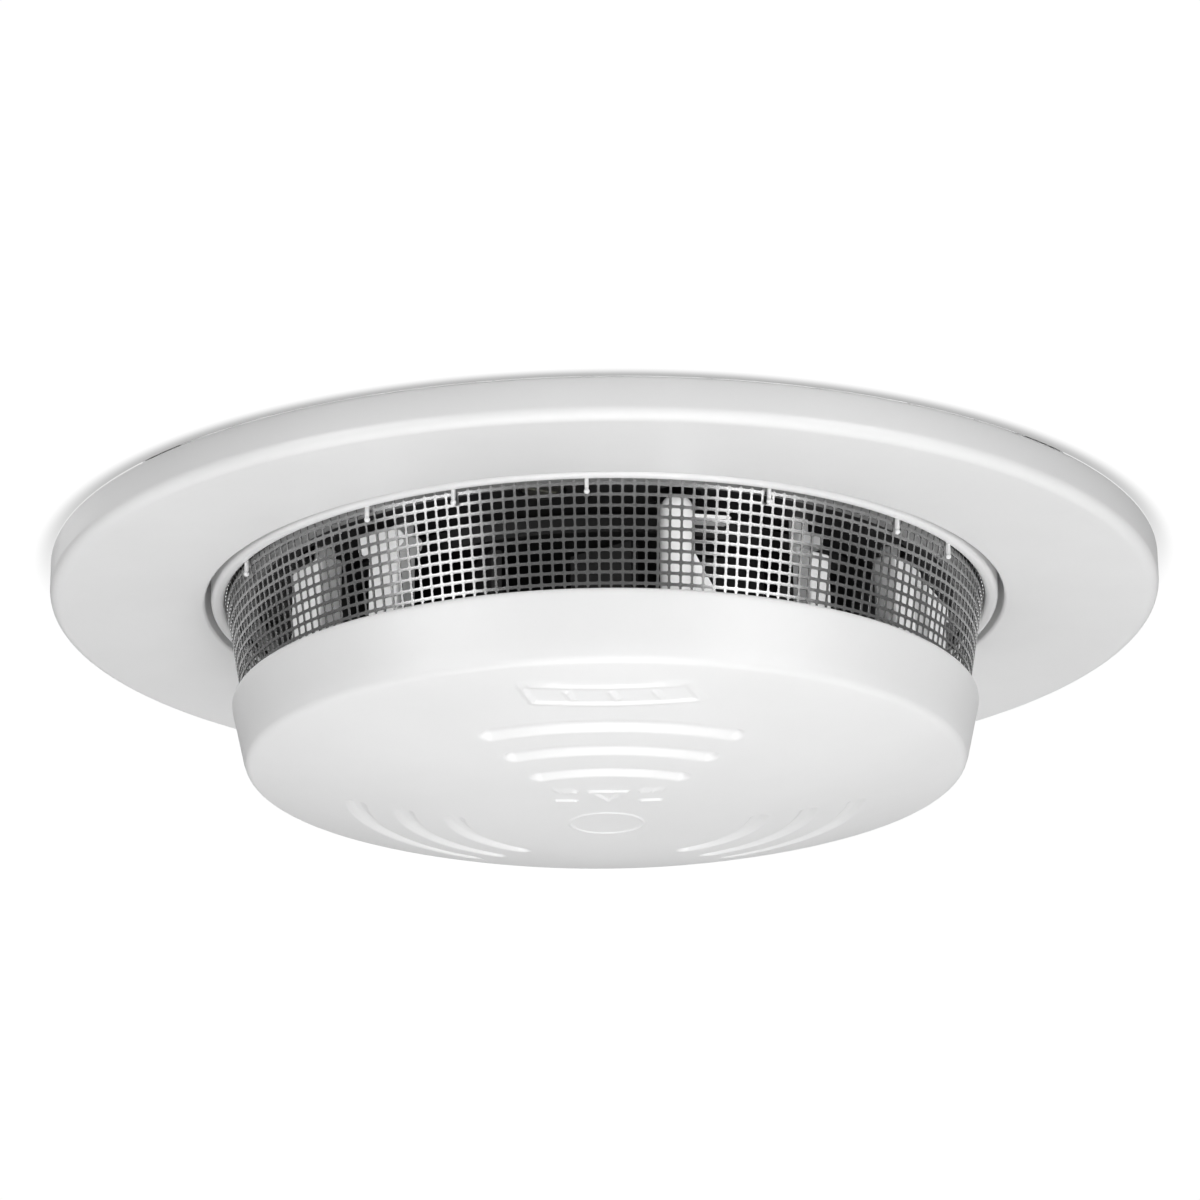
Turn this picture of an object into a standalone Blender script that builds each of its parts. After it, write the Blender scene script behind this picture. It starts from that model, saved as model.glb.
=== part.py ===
"""Recessed optical smoke detector: a compact alarm head twisted into a flush ceiling mount.

Metres, +Z up. The origin is the centre of the trim flange's back face, in the plane of the ceiling:
what lies above the ceiling is at positive Z, the cap hangs to negative Z, and the front is at -Y.
"""

import bmesh
import bpy
from math import cos, pi, radians, sin
from mathutils import Matrix, Vector

MM = 0.001
GAP = 0.3 * MM
SEGMENTS = 48
PLATE_SEGMENTS = 40

# trim flange and recess can
FLANGE_R = 48.4 * MM
FLANGE_DROP = 3.45 * MM
FLANGE_WALL = 1.6 * MM
FLANGE_FILLET = 1.0 * MM
HOLE_R = 35.0 * MM
HOLE_DROP = 3.0 * MM
HOLE_FILLET = 0.3 * MM
CAN_WALL = 1.6 * MM
CAN_TOP = 29.2 * MM
LEDGE_THICK = 1.8 * MM
LEDGE_R = 24.0 * MM
SCREW_HOLE_R = 1.5 * MM
SCREW_SINK_R = 2.6 * MM
SCREW_SINK = 1.1 * MM
THROUGH = 1.0 * MM

# mounting plate, its screws and the bayonet
PLATE_R = 34.4 * MM
PLATE_LOW = 25.3 * MM
PLATE_HIGH = 27.1 * MM
PLATE_HOLE_R = 10.0 * MM
PLATE_SCREW_R = 28.5 * MM
PLATE_SCREW_ANGLES = [radians(a) for a in (30, 150, 270)]
HOOK_R = 18.0 * MM
HOOK_ANGLES = [radians(a) for a in (90, 210, 330)]
HOOK_NECK = (1.4 * MM, 4.0 * MM)
HOOK_FOOT = (4.6 * MM, 4.4 * MM)
HOOK_TOP = 28.7 * MM
HOOK_CLEAR = 0.4 * MM
SLOT_SPARE = 0.5 * MM
TWIST = radians(18)

# spring clips that hold the can in a board 12.5 mm thick
CLIP_PIVOT = Vector((39.6 * MM, 0, 14.5 * MM))
CLIP_EAR = (5.9 * MM, 1.6 * MM, 6.6 * MM)
CLIP_EAR_Y = 5.5 * MM
CLIP_EAR_SUNK = 1.0 * MM
CLIP_BAR_HALF = 8.0 * MM
CLIP_PIN_R = 0.9 * MM
CLIP_PIN_HALF = 7.2 * MM
CLIP_KNUCKLE_R = 2.0 * MM
CLIP_ARM = (18.4 * MM, 8.4 * MM, 0.9 * MM)
CLIP_WINDOW = (5.2 * MM, 5.0 * MM, 4.0 * MM)
CLIP_WINDOW_AT = 1.2 * MM
CLIP_KNUCKLE_Y = 3.4 * MM
CLIP_KNUCKLE_HALF = 0.85 * MM
CLIP_PAD = (4.6 * MM, 9.6 * MM, 3.2 * MM)
CLIP_PAD_BACK = 1.4 * MM
CLIP_PAD_DOWN = 0.4 * MM
CLIP_COIL_R = 1.55 * MM
CLIP_COIL_TURNS = 4
CLIP_COIL_STEPS = 8
CLIP_COIL_WIDTH = 3.6 * MM
CLIP_COIL_LEG = (4.6 * MM, 8.5 * MM, 1.1 * MM)
CLIP_COIL_WIRE = 0.28 * MM

# alarm base: a deep cup whose lower lip shows as a white ring inside the flange
BASE_R = 34.5 * MM
BASE_WALL = 1.0 * MM
BASE_EDGE = 1.0 * MM
BASE_TOP = 24.9 * MM
BASE_PLATE = 2.0 * MM
BASE_LIP = -3.0 * MM

# chassis, circuit board and the screws that hold both to the base
CHASSIS_R = 32.2 * MM
CHASSIS_LOW = -2.2 * MM
CHASSIS_HIGH = -0.3 * MM
BOARD_R = 31.8 * MM
BOARD_LOW = 0.6 * MM
BOARD_HIGH = 2.2 * MM
BOSS_R = 2.4 * MM
BOSS_AT_R = 29.0 * MM
BOSS_ANGLES = [radians(a) for a in (20, 140, 260)]
BOARD_SCREW_R = 0.8 * MM
BOSS_HOLE_TOP = 9.0 * MM
STANDOFF_R = 2.2 * MM
HEAD_SINK_R = 2.1 * MM
HEAD_SINK = 1.2 * MM
LAMP_HOLE_R = 2.2 * MM
SLOT_CLEAR = 0.8 * MM
NOTCH_AT_R = 30.0 * MM
BOARD_NOTCH = (8.0 * MM, 5.8 * MM)

# battery, a lithium cell 17 mm across and 34.5 mm long
BATTERY_R = 8.5 * MM
BATTERY_LONG = 34.5 * MM
BATTERY_NUB = (3.2 * MM, 1.0 * MM)
BATTERY_AT = Vector((0, 6.0 * MM, 13.2 * MM))
CRADLE_HALF = (21.2 * MM, 9.6 * MM)
CRADLE_LOW = 3.0 * MM
CRADLE_HIGH = 11.6 * MM
TROUGH_SPARE = 0.35 * MM
TROUGH_HALF = 19.6 * MM
CONTACT = (0.4 * MM, 7.0 * MM, 15.4 * MM)
CONTACT_OUT = 0.6 * MM
CONTACT_Z = 13.6 * MM
CONTACT_FOLD = (2.2 * MM, 7.0 * MM, 0.4 * MM)
CONTACT_FOLD_OUT = 0.9 * MM
CONTACT_FOLD_UP = 7.5 * MM

# components on the board and the status lamp under it
CHIP_SIZE = (7.0 * MM, 7.0 * MM, 1.1 * MM)
CHIP_AT = (12.0 * MM, -13.0 * MM)
CHIP_EDGE = 0.15 * MM
CAPACITOR_R = 3.15 * MM
CAPACITOR_TALL = 8.0 * MM
CAPACITOR_AT = (-13.0 * MM, -13.0 * MM, 0)
COIL_FLANGE_R = 4.0 * MM
COIL_R = 3.4 * MM
COIL_TALL = 6.0 * MM
COIL_FLANGE = 0.8 * MM
COIL_AT = (0, -16.0 * MM, 0)
LAMP_R = 1.3 * MM
LAMP_TIP_R = 0.8 * MM
LAMP_LOW = -1.0 * MM

# smoke chamber
CHAMBER_R = 24.0 * MM
CHAMBER_BASE = (-4.1 * MM, -2.5 * MM)
CHAMBER_COVER = (-12.3 * MM, -11.3 * MM)
LABYRINTH = (-11.0 * MM, -4.4 * MM)
LABYRINTH_INNER_R = 16.6 * MM
LABYRINTH_FLOOR = 0.8 * MM
VANES = 12
VANE = (6.4 * MM, 0.9 * MM)
VANE_AT_R = 20.3 * MM
VANE_SLANT = radians(52)
OPTIC_R = 2.4 * MM
OPTIC_LONG = 6.0 * MM
OPTIC_AT_R = 15.0 * MM
OPTIC_Z = -7.4 * MM
OPTIC_RIM = 0.8 * MM

# insect screen: a collar inside the base's lip, then a cone down into the cap's rim
SCREEN_TOP_R = 33.15 * MM
SCREEN_SHEET = 0.2 * MM
SCREEN_TOP = -0.8 * MM
SCREEN_BEND = -2.7 * MM
SCREEN_LOW = -12.7 * MM
SCREEN_LOW_R = 31.4 * MM

# cap: rim, leaning wall and dome
CAP_RIM_R = 32.5 * MM
CAP_RIM = -11.85 * MM
CAP_RIM_INNER_R = 32.0 * MM
CAP_STEP = -13.9 * MM
CAP_EDGE_R = 31.41 * MM
CAP_EDGE = -17.55 * MM
CAP_FILLET = 1.0 * MM
CAP_FILLET_AT = (30.33 * MM, -16.84 * MM)
CAP_RIM_FILLET = 0.25 * MM
CAP_WALL = 1.5 * MM
CAP_WALL_STEP = 0.3 * MM
CAP_STEP_IN = 0.6 * MM
DOME_RISE = 4.73 * MM
DOME_POWER = 2.265
DOME_RINGS = [24.5 * MM, 17.5 * MM, 9.0 * MM]
DOME_INNER_RINGS = [24.0 * MM, 13.0 * MM]
CAP_PRESS = 0.8 * MM

# grooves in the cap: three sets of three arcs, 120 degrees apart
GROOVE_RADII = [21.7 * MM, 17.5 * MM, 13.2 * MM]
GROOVE_MIDDLE = radians(-88.5)
GROOVE_HALF_ANGLE = radians(28)
GROOVE_TUBE = 0.8 * MM
GROOVE_DEEP = 0.5 * MM

# the cap's three guide legs, which carry the return springs
LEG_AT_R = 28.1 * MM
LEG_ANGLES = [radians(a) for a in (-150, -27.5, 90)]
LEG_FOOT = CAP_EDGE - 0.2 * MM
LEG = (2.2 * MM, 5.4 * MM)
LEG_TOP = -3.4 * MM
LEG_STEP = (1.4 * MM, 6.6 * MM)
LEG_STEP_AT_R = 29.5 * MM
LEG_STEP_ANGLE = radians(-19.6)
LEG_STEP_TOP = -5.3 * MM
LEG_STEP_FOOT = -16.4 * MM
LEG_STEP_NOTCH = (12.0 * MM, 8.4 * MM)
STEM = (1.4 * MM, 2.4 * MM)
STEM_TOP = 5.0 * MM
STEM_SEAT = 0.8 * MM
BARB = (1.2 * MM, 4.2 * MM)
BARB_TALL = 1.0 * MM
SEAT_R = 2.4 * MM
SEAT_LOW = 14.0 * MM
SPRING_R = 1.9 * MM
SPRING_WIRE = 0.25 * MM
SPRING_TURNS = 5

# light pipe in the cap and the lamp above it
PIPE_AT_R = 27.9 * MM
PIPE_ANGLE = radians(-77.6)
PIPE_R = 1.45 * MM
PIPE_FOOT_R = 1.8 * MM
PIPE_TOP = -2.1 * MM
PIPE_FOOT = -13.4 * MM
PIPE_LOW = -16.7 * MM
# size, tangential offset and height of the shelf and of the two steps of the buttress
PIPE_SHELF = ((1.8 * MM, 3.2 * MM, 0.4 * MM), 2.8 * MM, -4.2 * MM)
PIPE_BUTTRESS = ((1.2 * MM, 1.4 * MM, 4.2 * MM), 1.9 * MM, -10.5 * MM)
PIPE_BUTTRESS_FOOT = ((1.2 * MM, 1.5 * MM, 1.8 * MM), 3.1 * MM, -11.7 * MM)
SOCKET_R = 2.5 * MM
SOCKET = (-17.3 * MM, -15.4 * MM)
PIPE_NOTCH = (12.0 * MM, 9.6 * MM)

# test switch under the board, with the cap's push pin below it
SWITCH_AT_R = 27.4 * MM
SWITCH_ANGLE = radians(165)
SWITCH_BODY = (6.0 * MM, 6.0 * MM)
SWITCH_LOW = -2.9 * MM
PLUNGER_R = 1.6 * MM
PLUNGER = (-4.4 * MM, -1.9 * MM)
PIN_R = 1.4 * MM
PIN_NOTCH = (12.0 * MM, 5.0 * MM)

# sounder
SOUNDER_PLATE_R = 29.6 * MM
SOUNDER_PLATE = (-13.6 * MM, -12.6 * MM)
SOUNDER_CUP_R = 16.0 * MM
SOUNDER_CUP_WALL = 1.6 * MM
SOUNDER_CUP_LOW = -16.4 * MM
SOUNDER_PORT_R = 4.0 * MM
LEG_NOTCH = (8.0 * MM, 6.8 * MM)
LID_THICK = 0.7 * MM
SOUND_PORT_R = 3.0 * MM
PIEZO_R = 13.8 * MM
PIEZO = (-15.2 * MM, -14.7 * MM)
POST_AT_R = 28.1 * MM
POST_TOP = CHASSIS_LOW - GAP
POST_DEEP = 2.2 * MM
POST_HEAD_LOW = -5.4 * MM
POST_HEAD_TOP = -3.4 * MM
POST_HEAD_PROUD = 0.1 * MM
POST_NECK = (1.4 * MM, 1.4 * MM)
POST_OVERLAP = 0.5 * MM
# angle, width and shoulder height of each post on the sounder's plate, and its head's width if it has one
POSTS = [
    (radians(-128.8), 3.3 * MM, POST_HEAD_LOW, 5.0 * MM),
    (radians(-52.4), 2.3 * MM, -5.8 * MM, 0),
    (radians(128.8), 3.3 * MM, POST_HEAD_LOW, 5.0 * MM),
    (radians(52.4), 2.3 * MM, -5.8 * MM, 0),
]


def clear_scene():
    for obj in list(bpy.data.objects):
        bpy.data.objects.remove(obj, do_unlink=True)


def new_collection(name):
    collection = bpy.data.collections.new(name)
    bpy.context.scene.collection.children.link(collection)
    return collection


def new_material(name, colour, roughness, metallic=0.0):
    material = bpy.data.materials.new(name)
    material.use_nodes = True
    shader = material.node_tree.nodes["Principled BSDF"]
    shader.inputs["Base Color"].default_value = (*colour, 1.0)
    shader.inputs["Roughness"].default_value = roughness
    shader.inputs["Metallic"].default_value = metallic
    return material


clear_scene()
PARTS = new_collection("smoke_detector")
CUTTERS = new_collection("cutters")

WHITE = new_material("white_plastic", (0.86, 0.86, 0.85), 0.42)
BLACK = new_material("black_plastic", (0.02, 0.02, 0.02), 0.55)
STEEL = new_material("spring_steel", (0.62, 0.62, 0.63), 0.3, 1.0)
ZINC = new_material("zinc_screw", (0.7, 0.7, 0.68), 0.35, 1.0)
SCREEN = new_material("etched_steel", (0.72, 0.72, 0.72), 0.28, 1.0)
BOARD = new_material("board_green", (0.02, 0.16, 0.07), 0.5)
SLEEVE = new_material("battery_sleeve", (0.55, 0.57, 0.6), 0.4)
CHIP = new_material("chip_black", (0.03, 0.03, 0.032), 0.6)
COPPER = new_material("copper_winding", (0.65, 0.3, 0.12), 0.35, 1.0)
BRASS = new_material("piezo_brass", (0.75, 0.56, 0.25), 0.32, 1.0)
RUBBER = new_material("rubber_pad", (0.05, 0.05, 0.05), 0.8)
CLEAR = new_material("clear_acrylic", (0.9, 0.92, 0.92), 0.12)


def polar(radius, angle, z=0.0):
    return Vector((radius * cos(angle), radius * sin(angle), z))


def add_empty(name, location, parent=None):
    empty = bpy.data.objects.new(name, None)
    PARTS.objects.link(empty)
    empty.location = location
    empty.parent = parent
    return empty


def place(obj, material, parent=None, location=(0, 0, 0), rotation=(0, 0, 0)):
    """Puts an object in the parts collection. location is in the world, and parents never turn."""
    for collection in list(obj.users_collection):
        collection.objects.unlink(obj)
    PARTS.objects.link(obj)
    obj.parent = parent
    origin = world_origin(parent)
    obj.location = Vector(location) - origin
    obj.rotation_euler = rotation
    obj.data.materials.clear()
    obj.data.materials.append(material)
    return obj


def world_origin(parent):
    origin = Vector((0, 0, 0))
    while parent is not None:
        origin += parent.location
        parent = parent.parent
    return origin


def as_cutter(obj):
    """Moves an object to the cutters collection, where it only shapes other objects."""
    for collection in list(obj.users_collection):
        collection.objects.unlink(obj)
    CUTTERS.objects.link(obj)
    obj.hide_render = True
    obj.display_type = "WIRE"
    return obj


def turned_mesh(name, profile, ring, segments):
    """A profile of (radius, z) turned about Z. A ring's profile is a closed loop off the axis."""
    mesh = bpy.data.meshes.new(name)
    points = [(radius, 0.0, z) for radius, z in profile]
    edges = [(i, i + 1) for i in range(len(points) - 1)]
    if ring:
        edges.append((len(points) - 1, 0))
    mesh.from_pydata(points, edges, [])
    obj = bpy.data.objects.new(name, mesh)
    screw = obj.modifiers.new("turn", "SCREW")
    screw.axis = "Z"
    screw.angle = 2 * pi
    screw.steps = segments
    screw.render_steps = segments
    screw.use_merge_vertices = True
    screw.merge_threshold = 0.000001
    screw.use_smooth_shade = True
    return obj


def turned(name, profile, material, parent=None, location=(0, 0, 0), rotation=(0, 0, 0),
           ring=False, segments=SEGMENTS):
    obj = turned_mesh(name, profile, ring, segments)
    return place(obj, material, parent, location, rotation)


def cylinder_profile(radius, low, high):
    return [(0, high), (radius, high), (radius, low), (0, low)]


def ring_profile(outer, inner, low, high):
    return [(outer, high), (outer, low), (inner, low), (inner, high)]


def box_mesh(name, size, location, rotation=(0, 0, 0), bevel=0.0):
    bpy.ops.mesh.primitive_cube_add(size=1.0, location=location, rotation=rotation)
    obj = bpy.context.object
    obj.name = name
    obj.data.name = name
    obj.data.transform(Matrix.Diagonal((*size, 1.0)))
    if bevel:
        edge = obj.modifiers.new("edge", "BEVEL")
        edge.width = bevel
        edge.segments = 1
    return obj


def box(name, size, location, material, parent=None, rotation=(0, 0, 0), bevel=0.0):
    obj = box_mesh(name, size, location, rotation, bevel)
    return place(obj, material, parent, location, rotation)


def cut_box(name, size, location, angle=0.0):
    return as_cutter(box_mesh(name, size, location, (0, 0, angle)))


def cut_cylinder(name, radius, low, high, at, segments=24):
    obj = turned_mesh(name, cylinder_profile(radius, low, high), False, segments)
    obj.location = (at[0], at[1], 0)
    return as_cutter(obj)


def cut_bar(name, radius, half, centre, segments=24):
    """A cylinder along Y."""
    obj = turned_mesh(name, cylinder_profile(radius, -half, half), False, segments)
    obj.location = centre
    obj.rotation_euler = (radians(90), 0, 0)
    return as_cutter(obj)


def boolean(target, cutter, operation="DIFFERENCE"):
    modifier = target.modifiers.new(cutter.name, "BOOLEAN")
    modifier.operation = operation
    modifier.solver = "EXACT"
    modifier.object = cutter


def curve_object(name, points, radius, resolution=2, cyclic=False):
    curve = bpy.data.curves.new(name, "CURVE")
    curve.dimensions = "3D"
    curve.bevel_depth = radius
    curve.bevel_resolution = resolution
    curve.use_fill_caps = True
    spline = curve.splines.new("POLY")
    spline.points.add(len(points) - 1)
    for point, place_at in zip(spline.points, points):
        point.co = (*place_at, 1.0)
    spline.use_cyclic_u = cyclic
    return bpy.data.objects.new(name, curve)


def curve_as_mesh(obj):
    """Replaces a curve with a closed mesh, so that it can cut or be cut."""
    CUTTERS.objects.link(obj)
    bpy.context.view_layer.update()
    evaluated = obj.evaluated_get(bpy.context.evaluated_depsgraph_get())
    mesh = bpy.data.meshes.new_from_object(evaluated)
    welded = bmesh.new()
    welded.from_mesh(mesh)
    bmesh.ops.remove_doubles(welded, verts=welded.verts, dist=0.000001)
    welded.to_mesh(mesh)
    welded.free()
    solid = bpy.data.objects.new(obj.name + "_solid", mesh)
    solid.matrix_world = obj.matrix_world
    bpy.data.objects.remove(obj, do_unlink=True)
    CUTTERS.objects.link(solid)
    return solid


def coil_points(radius, low, high, turns, steps=8):
    """A helix about Z."""
    points = []
    count = turns * steps
    for i in range(count + 1):
        angle = 2 * pi * i / steps
        height = low + (high - low) * i / count
        points.append((radius * cos(angle), radius * sin(angle), height))
    return points


def arc(centre, radius, start, end, steps):
    """Points on a circle in the profile plane, angles in degrees."""
    out = []
    for i in range(steps + 1):
        angle = radians(start + (end - start) * i / steps)
        out.append((centre[0] + radius * cos(angle), centre[1] + radius * sin(angle)))
    return out


# ---- frame empties: one on each joint axis ----
MOUNT = add_empty("mount_frame", (0, 0, 0))
HEAD = add_empty("head_twist_axis", (0, 0, 0), MOUNT)
CAP = add_empty("cap_press_axis", (0, 0, CAP_EDGE), HEAD)
PRESS = add_empty("switch_press_axis", polar(SWITCH_AT_R, SWITCH_ANGLE, SWITCH_LOW), HEAD)
CLIP_SIDES = {"right": 1, "left": -1}
CLIPS = {
    side: add_empty(f"clip_{side}_axis", (sign * CLIP_PIVOT.x, 0, CLIP_PIVOT.z), MOUNT)
    for side, sign in CLIP_SIDES.items()
}


def make_recess_housing():
    """The trim flange and the can behind it, one moulding with two pairs of clip ears."""
    can_r = HOLE_R + CAN_WALL
    back = FLANGE_WALL - FLANGE_DROP
    skirt_r = FLANGE_R - CAN_WALL
    edge = arc((FLANGE_R - FLANGE_FILLET, FLANGE_FILLET - FLANGE_DROP), FLANGE_FILLET, 0, -90, 4)
    profile = [
        (can_r, CAN_TOP),
        (can_r, back),
        (skirt_r, back),
        (skirt_r, 0),
        (FLANGE_R, 0),
        *edge,
        (HOLE_R + HOLE_FILLET, -HOLE_DROP),
        (HOLE_R, HOLE_FILLET - HOLE_DROP),
        (HOLE_R, CAN_TOP - LEDGE_THICK),
        (LEDGE_R, CAN_TOP - LEDGE_THICK),
        (LEDGE_R, CAN_TOP),
    ]
    housing = turned("recess_housing", profile, WHITE, MOUNT, ring=True)
    for side, sign in CLIP_SIDES.items():
        for name, y in (("front", -CLIP_EAR_Y), ("back", CLIP_EAR_Y)):
            centre = (sign * (can_r + CLIP_EAR[0] / 2 - CLIP_EAR_SUNK), y, CLIP_PIVOT.z)
            ear = cut_box(f"ear_{side}_{name}", CLIP_EAR, centre)
            boolean(housing, ear, "UNION")
        pivot = Vector((sign * CLIP_PIVOT.x, 0, CLIP_PIVOT.z))
        hole = cut_bar(f"ear_hole_{side}", CLIP_PIN_R + GAP, CLIP_BAR_HALF, pivot, 16)
        boolean(housing, hole)
    for i, angle in enumerate(PLATE_SCREW_ANGLES):
        at = polar(PLATE_SCREW_R, angle)
        low = CAN_TOP - LEDGE_THICK - THROUGH
        hole = cut_cylinder(f"ledge_hole_{i + 1}", SCREW_HOLE_R, low, CAN_TOP + THROUGH, at, 12)
        boolean(housing, hole)


def sector(name, inner, outer, low, high, start, end, steps):
    """A flat arc-shaped slug, as a 2D curve with an extrude."""
    curve = bpy.data.curves.new(name, "CURVE")
    curve.dimensions = "2D"
    curve.fill_mode = "BOTH"
    curve.extrude = (high - low) / 2
    turn = [start + (end - start) * i / steps for i in range(steps + 1)]
    outline = [polar(outer, a) for a in turn] + [polar(inner, a) for a in reversed(turn)]
    spline = curve.splines.new("POLY")
    spline.points.add(len(outline) - 1)
    for point, place_at in zip(spline.points, outline):
        point.co = (*place_at, 1.0)
    spline.use_cyclic_u = True
    obj = bpy.data.objects.new(name, curve)
    obj.location = (0, 0, (low + high) / 2)
    return curve_as_mesh(obj)


def make_mounting_plate():
    """The bayonet plate under the can's ledge. The head's feet pass its wide slots and lock in the narrow."""
    profile = ring_profile(PLATE_R, PLATE_HOLE_R, PLATE_LOW, PLATE_HIGH)
    plate = turned("mounting_plate", profile, WHITE, MOUNT, ring=True, segments=PLATE_SEGMENTS)
    low, high = PLATE_LOW - THROUGH, PLATE_HIGH + THROUGH
    neck = HOOK_NECK[1] / 2 / HOOK_R
    foot = HOOK_FOOT[1] / 2 / HOOK_R
    spare = SLOT_SPARE / HOOK_R
    for i, angle in enumerate(HOOK_ANGLES):
        wide_from = angle - TWIST - foot - spare
        wide_to = angle - TWIST + foot + spare
        narrow_to = angle + neck + spare
        half = HOOK_NECK[0] / 2 + HOOK_CLEAR
        narrow = sector(f"slot_narrow_{i + 1}", HOOK_R - half, HOOK_R + half, low, high,
                        wide_to - 2 * spare, narrow_to, 4)
        half = HOOK_FOOT[0] / 2 + HOOK_CLEAR
        wide = sector(f"slot_wide_{i + 1}", HOOK_R - half, HOOK_R + half, low, high,
                      wide_from, wide_to, 4)
        boolean(plate, as_cutter(narrow))
        boolean(plate, as_cutter(wide))
    for i, angle in enumerate(PLATE_SCREW_ANGLES):
        at = polar(PLATE_SCREW_R, angle)
        boolean(plate, cut_cylinder(f"plate_hole_{i + 1}", SCREW_HOLE_R, low, high, at, 12))
        sink_top = PLATE_LOW + SCREW_SINK
        boolean(plate, cut_cylinder(f"plate_sink_{i + 1}", SCREW_SINK_R, low, sink_top, at, 16))


def make_screw(name, at, head_low, head_high, head_r, shank_r, shank_high, parent):
    """A pan-head screw pointing up, with a slot across its head."""
    profile = [
        (0, shank_high),
        (shank_r * 0.5, shank_high),
        (shank_r, shank_high - shank_r),
        (shank_r, head_high),
        (head_r, head_high),
        (head_r, head_low + 0.2 * MM),
        (head_r - 0.3 * MM, head_low),
        (0, head_low),
    ]
    screw = turned(name, profile, ZINC, parent, (at[0], at[1], 0), segments=12)
    depth = (head_high - head_low) * 0.9
    size = (head_r * 1.5, 0.45 * MM, depth)
    slot = cut_box(f"{name}_slot", size, (at[0], at[1], head_low), radians(25))
    boolean(screw, slot)


def make_plate_screws():
    for i, angle in enumerate(PLATE_SCREW_ANGLES):
        head_low = PLATE_LOW + 0.1 * MM
        make_screw(f"plate_screw_{i + 1}", polar(PLATE_SCREW_R, angle), head_low, head_low + 0.7 * MM,
                   2.3 * MM, 1.2 * MM, CAN_TOP - 0.2 * MM, MOUNT)


def make_clip(side, sign):
    """One spring clip: a folded arm on a pin, its torsion spring and the rubber pad at its tip."""
    pivot = Vector((sign * CLIP_PIVOT.x, 0, CLIP_PIVOT.z))
    frame = CLIPS[side]
    rotation = (radians(90), 0, 0)
    pin = [
        (0, CLIP_PIN_HALF),
        (CLIP_PIN_R * 0.7, CLIP_PIN_HALF),
        (CLIP_PIN_R, CLIP_PIN_HALF - 0.3 * MM),
        (CLIP_PIN_R, -CLIP_PIN_HALF + 0.5 * MM),
        (CLIP_PIN_R * 1.8, -CLIP_PIN_HALF + 0.5 * MM),
        (CLIP_PIN_R * 1.8, -CLIP_PIN_HALF),
        (0, -CLIP_PIN_HALF),
    ]
    turned(f"clip_pin_{side}", pin, ZINC, MOUNT, pivot, rotation, segments=16)

    arm_from = CLIP_KNUCKLE_R * 0.4
    centre = pivot + Vector((sign * (arm_from + CLIP_ARM[0] / 2), 0, 0))
    arm = box(f"clip_arm_{side}", CLIP_ARM, centre, STEEL, frame, bevel=0.2 * MM)
    window_at = pivot + Vector((sign * CLIP_WINDOW_AT, 0, 0))
    boolean(arm, cut_box(f"arm_window_{side}", CLIP_WINDOW, window_at))
    for name, y in (("front", -CLIP_KNUCKLE_Y), ("back", CLIP_KNUCKLE_Y)):
        at = pivot + Vector((0, y, 0))
        knuckle = cut_bar(f"knuckle_{side}_{name}", CLIP_KNUCKLE_R, CLIP_KNUCKLE_HALF, at, 20)
        boolean(arm, knuckle, "UNION")
    boolean(arm, cut_bar(f"knuckle_hole_{side}", CLIP_PIN_R + GAP, CLIP_BAR_HALF, pivot, 16))

    pad_at = centre + Vector((sign * (CLIP_ARM[0] / 2 - CLIP_PAD_BACK), 0, -CLIP_PAD_DOWN))
    pad = box(f"clip_pad_{side}", CLIP_PAD, pad_at, RUBBER, frame, bevel=0.5 * MM)
    slot = (CLIP_ARM[0], CLIP_ARM[1] + 2 * GAP, CLIP_ARM[2] + 2 * GAP)
    boolean(pad, cut_box(f"pad_slot_{side}", slot, centre + Vector((sign * GAP, 0, 0))))

    points = []
    count = CLIP_COIL_TURNS * CLIP_COIL_STEPS
    for i in range(count + 1):
        angle = 2 * pi * i / CLIP_COIL_STEPS
        y = CLIP_COIL_WIDTH * (i / count - 0.5)
        points.append((sign * CLIP_COIL_R * cos(angle), y, CLIP_COIL_R * sin(angle)))
    leg_from, leg_to, leg_z = CLIP_COIL_LEG
    points.append((sign * leg_from, CLIP_COIL_WIDTH / 2, leg_z))
    points.append((sign * leg_to, CLIP_COIL_WIDTH / 2, leg_z))
    spring = curve_object(f"clip_spring_{side}", points, CLIP_COIL_WIRE, 0)
    place(spring, STEEL, frame, pivot)


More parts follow.
